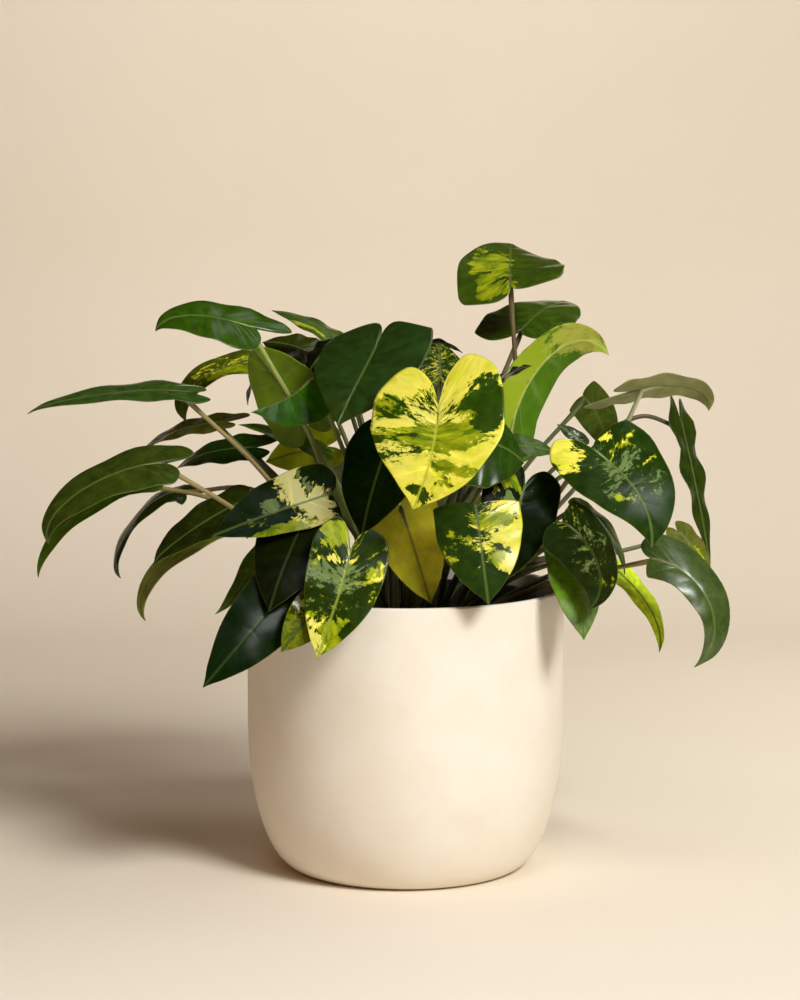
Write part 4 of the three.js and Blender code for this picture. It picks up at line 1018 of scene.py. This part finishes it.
made = 0
for leaf in LEAVES:
    if "on" in leaf:
        continue
    rows = [row for row in LEAVES if leaf["name"] in (row["name"], row.get("on"))]
    pieces = [piece for row in rows for piece in leaf_pieces(row, LEAVES.index(row) + 1)]
    verts, faces, slots, data = join(pieces)
    finish = LOOKS.get(leaf["name"], PLAIN).get("wax", "plain")
    skins = [upper_sides[finish], under_side, stalk_material]
    piece = make_object("dressed_" + leaf["name"], verts, faces, skins, slots, data)
    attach(piece, "root")
    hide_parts(leaf["name"])
    made += len(piece.data.polygons)
print("leaves have", made, "faces in all")

# %% [markdown]
# ## The stoneware planter
# The planter was thrown or cast in stoneware clay and dipped in a matte cream glaze. The glaze hides
# the clay but stays a little uneven: it clouds softly over some 45 mm, has a fine dry grain of about
# 1 mm, and shows a faint brown fleck here and there. Stoneware glaze has an index of refraction near
# 1.5, and a matte one is rough, 0.5 or more. The body could be drawn with a screw modifier, but a
# short function that turns a profile round an axis shows how a wheel or a jigger shapes it, and the
# growing pot and the soil use it again.

# %% Turned bodies
TURN_SIDES = 144


def quarter(inner, outer, bottom, top, steps):
    """Points of a quarter ellipse that starts flat and ends upright."""
    angle = np.linspace(0, math.pi / 2, steps + 1)
    return np.stack([inner + (outer - inner) * np.sin(angle), top - (top - bottom) * np.cos(angle)], 1)


def turned(profile, sides=TURN_SIDES):
    """A body of revolution from [radius, height] points whose ends lie on the axis."""
    profile = np.array(profile, float)
    angle = np.linspace(0, 2 * math.pi, sides, endpoint=False)
    ring = np.stack([np.cos(angle), np.sin(angle)], 1)
    middle = profile[1:-1]
    verts = [[[0, 0, profile[0, 1]]]]
    verts += [np.column_stack([ring * r, np.full(sides, z)]) for r, z in middle]
    verts += [[[0, 0, profile[-1, 1]]]]
    k = np.arange(sides)
    after = (k + 1) % sides
    last = 1 + len(middle) * sides
    faces = [[0, int(1 + b), int(1 + a)] for a, b in zip(k, after)]
    for i in range(len(middle) - 1):
        low = 1 + i * sides
        faces += np.stack([low + k, low + after, low + sides + after, low + sides + k], 1).tolist()
    faces += [[last, int(last - sides + a), int(last - sides + b)] for a, b in zip(k, after)]
    return np.vstack(verts), faces


print("a turned body has", TURN_SIDES, "sides")

# %% Matte cream glaze
GLAZE_LIGHT = "#f1e9da"
GLAZE_DARK = "#ede3d1"
GLAZE_FLECK = "#c7ab7c"


def per_metre(size):
    """The scale of a pattern laid out in metres, from the size of its spots in millimetres."""
    return 1 / (size * MM)


def cream_glaze():
    material, tree = new_material("stoneware with matte cream glaze")
    place = add(tree, "TexCoord").outputs["Object"]
    cloud = add(tree, "TexNoise", {"Scale": per_metre(45.5), "Detail": 3, "Roughness": 0.5},
                {"Vector": place})
    grain = add(tree, "TexNoise", {"Scale": per_metre(1.11), "Detail": 3, "Roughness": 0.6},
                {"Vector": place})
    fleck = add(tree, "TexVoronoi", {"Scale": per_metre(3.85)}, {"Vector": place})
    shade = add(tree, "MapRange", {"From Min": 0.35, "From Max": 0.65}, {"Value": cloud.outputs["Fac"]})
    tone = add(tree, "MixRGB", {"Color1": linear(GLAZE_DARK), "Color2": linear(GLAZE_LIGHT)},
               {"Fac": shade.outputs["Result"]})
    spot = add(tree, "MapRange", {"From Min": 0.1, "From Max": 0.05, "To Max": 0.25},
               {"Value": fleck.outputs["Distance"]})
    flecked = add(tree, "MixRGB", {"Color2": linear(GLAZE_FLECK)},
                  {"Fac": spot.outputs["Result"], "Color1": tone.outputs["Color"]})
    height = add(tree, "Math", {"operation": "MULTIPLY_ADD", 1: 0.3},
                 {0: grain.outputs["Fac"], 2: cloud.outputs["Fac"]})
    bump = add(tree, "Bump", {"Strength": 0.25, "Distance": 0.0006}, {"Height": height.outputs[0]})
    rough = add(tree, "MapRange", {"From Min": 0.3, "From Max": 0.7, "To Min": 0.5, "To Max": 0.66},
                {"Value": grain.outputs["Fac"]})
    surface = add(tree, "BsdfPrincipled", {"IOR": 1.5},
                  {"Base Color": flecked.outputs["Color"], "Roughness": rough.outputs["Result"],
                   "Normal": bump.outputs["Normal"]})
    add(tree, "OutputMaterial", links={"Surface": surface.outputs["BSDF"]})
    return material


glaze = cream_glaze()
print(glaze.name)

# %% The planter
POT_RADIUS, POT_HEIGHT, POT_WALL, POT_FLOOR = 125, 223, 5, 8
FOOT_RADIUS, ROUND_HEIGHT, RIM_ROUND = 85, 115, 1.8

lip_angle = np.linspace(0, math.pi, 13)
lip = np.stack([POT_RADIUS - POT_WALL / 2 + POT_WALL / 2 * np.cos(lip_angle),
                POT_HEIGHT - RIM_ROUND + RIM_ROUND * np.sin(lip_angle)], 1)
wall = np.linspace(ROUND_HEIGHT, POT_HEIGHT - RIM_ROUND, 8)[1:-1]
outside = quarter(FOOT_RADIUS + 0.8, POT_RADIUS, 0, ROUND_HEIGHT, 28)
inside = quarter(FOOT_RADIUS - POT_WALL, POT_RADIUS - POT_WALL, POT_FLOOR, ROUND_HEIGHT, 20)[::-1]
pot_profile = np.vstack([
    [[0, 0], [FOOT_RADIUS - 1, 0]], outside,
    np.column_stack([wall * 0 + POT_RADIUS, wall]), lip,
    np.column_stack([wall * 0 + POT_RADIUS - POT_WALL, wall[::-1]]), inside, [[0, POT_FLOOR]],
])
planter = make_object("dressed_pot", *turned(pot_profile), [glaze])
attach(planter, "root")
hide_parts("pot")
print("planter", 2 * POT_RADIUS, "mm wide,", POT_HEIGHT, "mm high")

# %% [markdown]
# ## The growing pot
# Inside the planter sits the thin pot that the plant was raised in: black polypropylene, drawn in a
# mould, with a turned-down lip. Polypropylene has an index of refraction near 1.49. The moulded
# surface is half matte with a grain under 1 mm. It carries scuffs and a film of dry soil in spots of
# some 17 mm, so its roughness varies.

# %% Black polypropylene
PLASTIC = "#1c1b19"
SOIL_FILM = "#4a4034"


def black_plastic():
    material, tree = new_material("black polypropylene, scuffed")
    place = add(tree, "TexCoord").outputs["Object"]
    dust = add(tree, "TexNoise", {"Scale": per_metre(16.7), "Detail": 6, "Roughness": 0.65},
               {"Vector": place})
    scuff = add(tree, "MapRange", {"From Min": 0.48, "From Max": 0.75, "To Max": 0.5},
                {"Value": dust.outputs["Fac"]})
    tone = add(tree, "MixRGB", {"Color1": linear(PLASTIC), "Color2": linear(SOIL_FILM)},
               {"Fac": scuff.outputs["Result"]})
    rough = add(tree, "MapRange", {"From Min": 0.3, "From Max": 0.7, "To Min": 0.4, "To Max": 0.7},
                {"Value": dust.outputs["Fac"]})
    grain = add(tree, "TexNoise", {"Scale": per_metre(0.714), "Detail": 2}, {"Vector": place})
    bump = add(tree, "Bump", {"Strength": 0.2, "Distance": 0.0002}, {"Height": grain.outputs["Fac"]})
    surface = add(tree, "BsdfPrincipled", {"IOR": 1.49},
                  {"Base Color": tone.outputs["Color"], "Roughness": rough.outputs["Result"],
                   "Normal": bump.outputs["Normal"]})
    add(tree, "OutputMaterial", links={"Surface": surface.outputs["BSDF"]})
    return material


plastic = black_plastic()
print(plastic.name)

# %% The growing pot
GROW_BASE, GROW_TOP, GROW_WALL = 8.3, 213, 1.6
GROW_BASE_RADIUS, GROW_HEEL_RADIUS, GROW_TOP_RADIUS, GROW_HEEL = 74, 92, 110, 40
LIP_WIDTH, LIP_HEIGHT = 3.5, 9


def grow_radius(height):
    """Outer radius of the growing pot's wall at a height."""
    return np.interp(height, [GROW_BASE, GROW_HEEL, GROW_TOP],
                     [GROW_BASE_RADIUS, GROW_HEEL_RADIUS, GROW_TOP_RADIUS])


lip_bottom = GROW_TOP - LIP_HEIGHT
lip_radius = GROW_TOP_RADIUS + LIP_WIDTH
grow_profile = [
    [0, GROW_BASE], [GROW_BASE_RADIUS - 2, GROW_BASE], [GROW_BASE_RADIUS, GROW_BASE + 1.5],
    [GROW_HEEL_RADIUS - 0.3, GROW_HEEL - 1], [GROW_HEEL_RADIUS, GROW_HEEL], [grow_radius(120), 120],
    [grow_radius(lip_bottom), lip_bottom], [lip_radius - 0.6, lip_bottom + 0.6],
    [lip_radius, lip_bottom + 1.5], [lip_radius, GROW_TOP - 1], [lip_radius - 1, GROW_TOP],
    [GROW_TOP_RADIUS - 0.6, GROW_TOP],
    [GROW_TOP_RADIUS - GROW_WALL, GROW_TOP - 1], [GROW_HEEL_RADIUS - GROW_WALL, GROW_HEEL],
    [GROW_BASE_RADIUS - GROW_WALL, GROW_BASE + GROW_WALL], [0, GROW_BASE + GROW_WALL],
]
grow_pot = make_object("dressed_nursery_pot", *turned(grow_profile), [plastic])
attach(grow_pot, "root")
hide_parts("nursery_pot")
print("growing pot", 2 * lip_radius, "mm wide at its lip")

# %% [markdown]
# ## The potting soil
# The growing pot is full of peat with bark and roots in it: dark brown, damp, matte, and lumpy on
# top. A flat disk with a bump map would look painted where light grazes it, so the top is a fine
# grid that is really lifted, and a few hundred crumbs of bark lie on it. Its top dips round every
# stalk. Peat has no shine, so its roughness is near 1. Clods are some 8 mm across and the pale
# fibres under 2 mm.

# %% Peat
PEAT_DARK = "#120d09"
PEAT_LIGHT = "#3c2c1e"
FIBRE = "#6b543a"


def peat():
    material, tree = new_material("damp peat potting soil")
    place = add(tree, "TexCoord").outputs["Object"]
    clod = add(tree, "TexNoise", {"Scale": per_metre(8.33), "Detail": 6, "Roughness": 0.7}, {"Vector": place})
    fibre = add(tree, "TexNoise",
                {"Scale": per_metre(1.43), "Detail": 4, "Roughness": 0.7, "Distortion": 1.5},
                {"Vector": place})
    tone = add(tree, "ValToRGB", links={"Fac": clod.outputs["Fac"]})
    for stop, share, colour in zip(tone.color_ramp.elements, (0.3, 0.75), (PEAT_DARK, PEAT_LIGHT)):
        stop.position = share
        stop.color = linear(colour)
    pale = add(tree, "MapRange", {"From Min": 0.66, "From Max": 0.74, "To Max": 0.5},
               {"Value": fibre.outputs["Fac"]})
    mixed = add(tree, "MixRGB", {"Color2": linear(FIBRE)},
                {"Fac": pale.outputs["Result"], "Color1": tone.outputs["Color"]})
    bump = add(tree, "Bump", {"Strength": 0.8, "Distance": 0.0015}, {"Height": clod.outputs["Fac"]})
    surface = add(tree, "BsdfPrincipled", {"Roughness": 0.95, "IOR": 1.4},
                  {"Base Color": mixed.outputs["Color"], "Normal": bump.outputs["Normal"]})
    add(tree, "OutputMaterial", links={"Surface": surface.outputs["BSDF"]})
    return material


soil_material = peat()
print(soil_material.name)

# %% The soil and its crumbs
SEAT_GAP = 0.3
SOIL_CROWN = 5
CRUMBS = 420
# Lumps of the top: how fast each wave runs, in radians per mm, and its height in mm
SOIL_WAVES = [(0.08, 0.7), (0.14, 0.6), (0.22, 0.5), (0.4, 0.35), (0.7, 0.25), (1.0, 0.2)] * 3
WAVE_SHARE = 0.8
SINK = 1.2
# The dip round a stalk, in mm
DIP_DEPTH = 3
DIP_WIDTH = 4

dice = np.random.default_rng(7)
inset = GROW_WALL + SEAT_GAP
soil_edge = SOIL_TOP - SOIL_CROWN
edge_radius = grow_radius(soil_edge) - inset
rings = np.linspace(1, 0, 46)[:-1]
crown = [[edge_radius * s, SOIL_TOP - SOIL_CROWN * s**3] for s in rings]
soil_profile = [
    [0, GROW_BASE + inset], [GROW_BASE_RADIUS - inset, GROW_BASE + inset],
    [GROW_HEEL_RADIUS - inset, GROW_HEEL], *crown, [0, SOIL_TOP],
]
soil_verts, soil_faces = turned(soil_profile)
top = soil_verts[:, 2] > soil_edge + 0.01
waves = sum(high * np.sin(soil_verts[:, :2] @ dice.normal(0, pace, 2) + dice.uniform(0, FULL_TURN))
            for pace, high in SOIL_WAVES)
soil_verts[top, 2] += waves[top] * WAVE_SHARE - SINK
feet = np.array([root_of(leaf) for leaf in LEAVES if "on" not in leaf], float)
nearest = np.linalg.norm(soil_verts[:, None, :2] - feet[None], axis=2).min(axis=1)
soil_verts[top, 2] -= DIP_DEPTH * np.exp(-((nearest[top] / DIP_WIDTH) ** 2))


def crumb(place, size):
    """A squashed lump with six corners pushed about at random."""
    corners = np.array([[1, 0, 0], [0, 1, 0], [-1, 0, 0], [0, -1, 0], [0, 0, 0.7], [0, 0, -0.7]])
    corners = corners * dice.uniform(0.6, 1.3, (6, 3)) * size * dice.uniform(0.6, 1.4, 3)
    turn = dice.uniform(0, FULL_TURN)
    spin = np.array([[math.cos(turn), -math.sin(turn), 0], [math.sin(turn), math.cos(turn), 0], [0, 0, 1]])
    sides = [[0, 1, 4], [1, 2, 4], [2, 3, 4], [3, 0, 4], [1, 0, 5], [2, 1, 5], [3, 2, 5], [0, 3, 5]]
    return corners @ spin.T + place, sides


for _ in range(CRUMBS):
    turn = dice.uniform(0, FULL_TURN)
    reach = (edge_radius - 5) * dice.uniform(0, 1) ** 0.5
    size = dice.uniform(0.8, 2.6)
    place = np.array([reach * math.cos(turn), reach * math.sin(turn), 0])
    if np.linalg.norm(feet - place[:2], axis=1).min() < size + 4:
        continue
    place[2] = SOIL_TOP - SOIL_CROWN * (reach / edge_radius) ** 3 - 0.4
    verts, sides = crumb(place, size)
    soil_faces += [[number + len(soil_verts) for number in side] for side in sides]
    soil_verts = np.vstack([soil_verts, verts])
soil = make_object("dressed_soil", soil_verts, soil_faces, [soil_material])
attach(soil, "root")
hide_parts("soil")
print("soil has", len(soil_faces), "faces")

# %% [markdown]
# ## The room: a pale sweep
# The plant stands on a pale paper sweep, which is a floor that curves up into a back wall, so no
# line shows behind it. A wide curved sheet does the same here. It belongs to the picture only. It
# ends just above the picture's edge: a higher one is mirrored in the upward leaves as a grey sheen.

# %% Floor and backdrop in one sheet
# Lengths of the room are in metres
SWEEP_WIDTH = 4.0
SWEEP_FRONT, SWEEP_BACK = -2.6, 1.1
SWEEP_RADIUS = 0.5
SWEEP_TOP = 0.95
PAPER_DARK = "#ebdec9"
PAPER_LIGHT = "#f1e6d3"


def paper():
    material, tree = new_material("pale backdrop paper")
    place = add(tree, "TexCoord").outputs["Object"]
    mottle = add(tree, "TexNoise", {"Scale": per_metre(400), "Detail": 3}, {"Vector": place})
    tone = add(tree, "MixRGB", {"Color1": linear(PAPER_DARK), "Color2": linear(PAPER_LIGHT)},
               {"Fac": mottle.outputs["Fac"]})
    surface = add(tree, "BsdfPrincipled", {"Roughness": 0.85}, {"Base Color": tone.outputs["Color"]})
    add(tree, "OutputMaterial", links={"Surface": surface.outputs["BSDF"]})
    return material


bend = [[SWEEP_BACK + SWEEP_RADIUS * math.sin(turn), SWEEP_RADIUS * (1 - math.cos(turn))]
        for turn in np.linspace(0, math.pi / 2, 17)]
curve = [[SWEEP_FRONT, 0], *bend, [SWEEP_BACK + SWEEP_RADIUS, SWEEP_TOP]]
sweep_verts = [[side * SWEEP_WIDTH / 2 / MM, y / MM, z / MM] for y, z in curve for side in (-1, 1)]
sweep_faces = [[2 * i, 2 * i + 1, 2 * i + 3, 2 * i + 2] for i in range(len(curve) - 1)]
sweep = make_object("sweep", sweep_verts, sweep_faces, [paper()])
print("sweep reaches", SWEEP_BACK + SWEEP_RADIUS, "m behind the plant")

# %% [markdown]
# ## The light
# One large soft light stands high on the right, in front of the plant. It draws the soft shadow of
# the leaves on the right of the pot and leaves the pot's left side a warm brown. A weak warm fill
# from the left and a dim warm surround keep the shadows open. Three weak lamps hang overhead, for
# the wall, the floor in front and the floor on the right, which would fall off into grey. A smaller
# main lamp would cut hard shadows, and one lamp alone would leave the sweep uneven. The view
# transform is the plain one, so that a hex colour keeps its hue in the picture.

# %% Lamps and surround
# The middle of the plant, in metres
MIDDLE = (0, 0, 0.25)
SURROUND = "#ffc282"
SURROUND_STRENGTH = 0.04


def around(azimuth, height, reach):
    """A place round the plant, with its azimuth counted to the right of the camera, and the aim at it."""
    turn, rise = math.radians(azimuth), math.radians(height)
    way = np.array([math.sin(turn) * math.cos(rise), -math.cos(turn) * math.cos(rise), math.sin(rise)])
    return way * reach + MIDDLE, (90 - height, azimuth)


def soft_light(name, place, aim, size, watts, colour, spread=180):
    """A square area light. Its aim is a tilt from straight down and a turn, in degrees."""
    lamp = bpy.data.objects.new(name, bpy.data.lights.new(name, "AREA"))
    lamp.location = place
    lamp.rotation_euler = (math.radians(aim[0]), 0, math.radians(aim[1]))
    lamp.data.size = size
    lamp.data.energy = watts
    lamp.data.color = linear(colour)[:3]
    lamp.data.spread = math.radians(spread)
    bpy.context.collection.objects.link(lamp)
    return lamp


key = soft_light("key", *around(35, 39, 4.2), size=1.2, watts=170, colour="#fcfcfb")
soft_light("fill", *around(-50, 30, 3.0), size=2.0, watts=4.4, colour="#ffa03c")
soft_light("over the wall", (-0.2, 0.6, 2.1), (41, 0), size=1.2, watts=2.1, colour="#fdfdfb", spread=66)
soft_light("over the front floor", (0, -1.3, 1.9), (0, 0), size=1.0, watts=7.0, colour="#f2f6ff", spread=75)
soft_light("over the right floor", (0.6, 0.5, 1.6), (0, 0), size=0.8, watts=2.0, colour="#fdfbf6", spread=70)
world = bpy.data.worlds.new("warm surround")
world.use_nodes = True
background = world.node_tree.nodes["Background"]
background.inputs["Color"].default_value = linear(SURROUND)
background.inputs["Strength"].default_value = SURROUND_STRENGTH
bpy.context.scene.world = world
bpy.context.scene.view_settings.view_transform = "Standard"
print("key light at", [round(v, 2) for v in key.location])
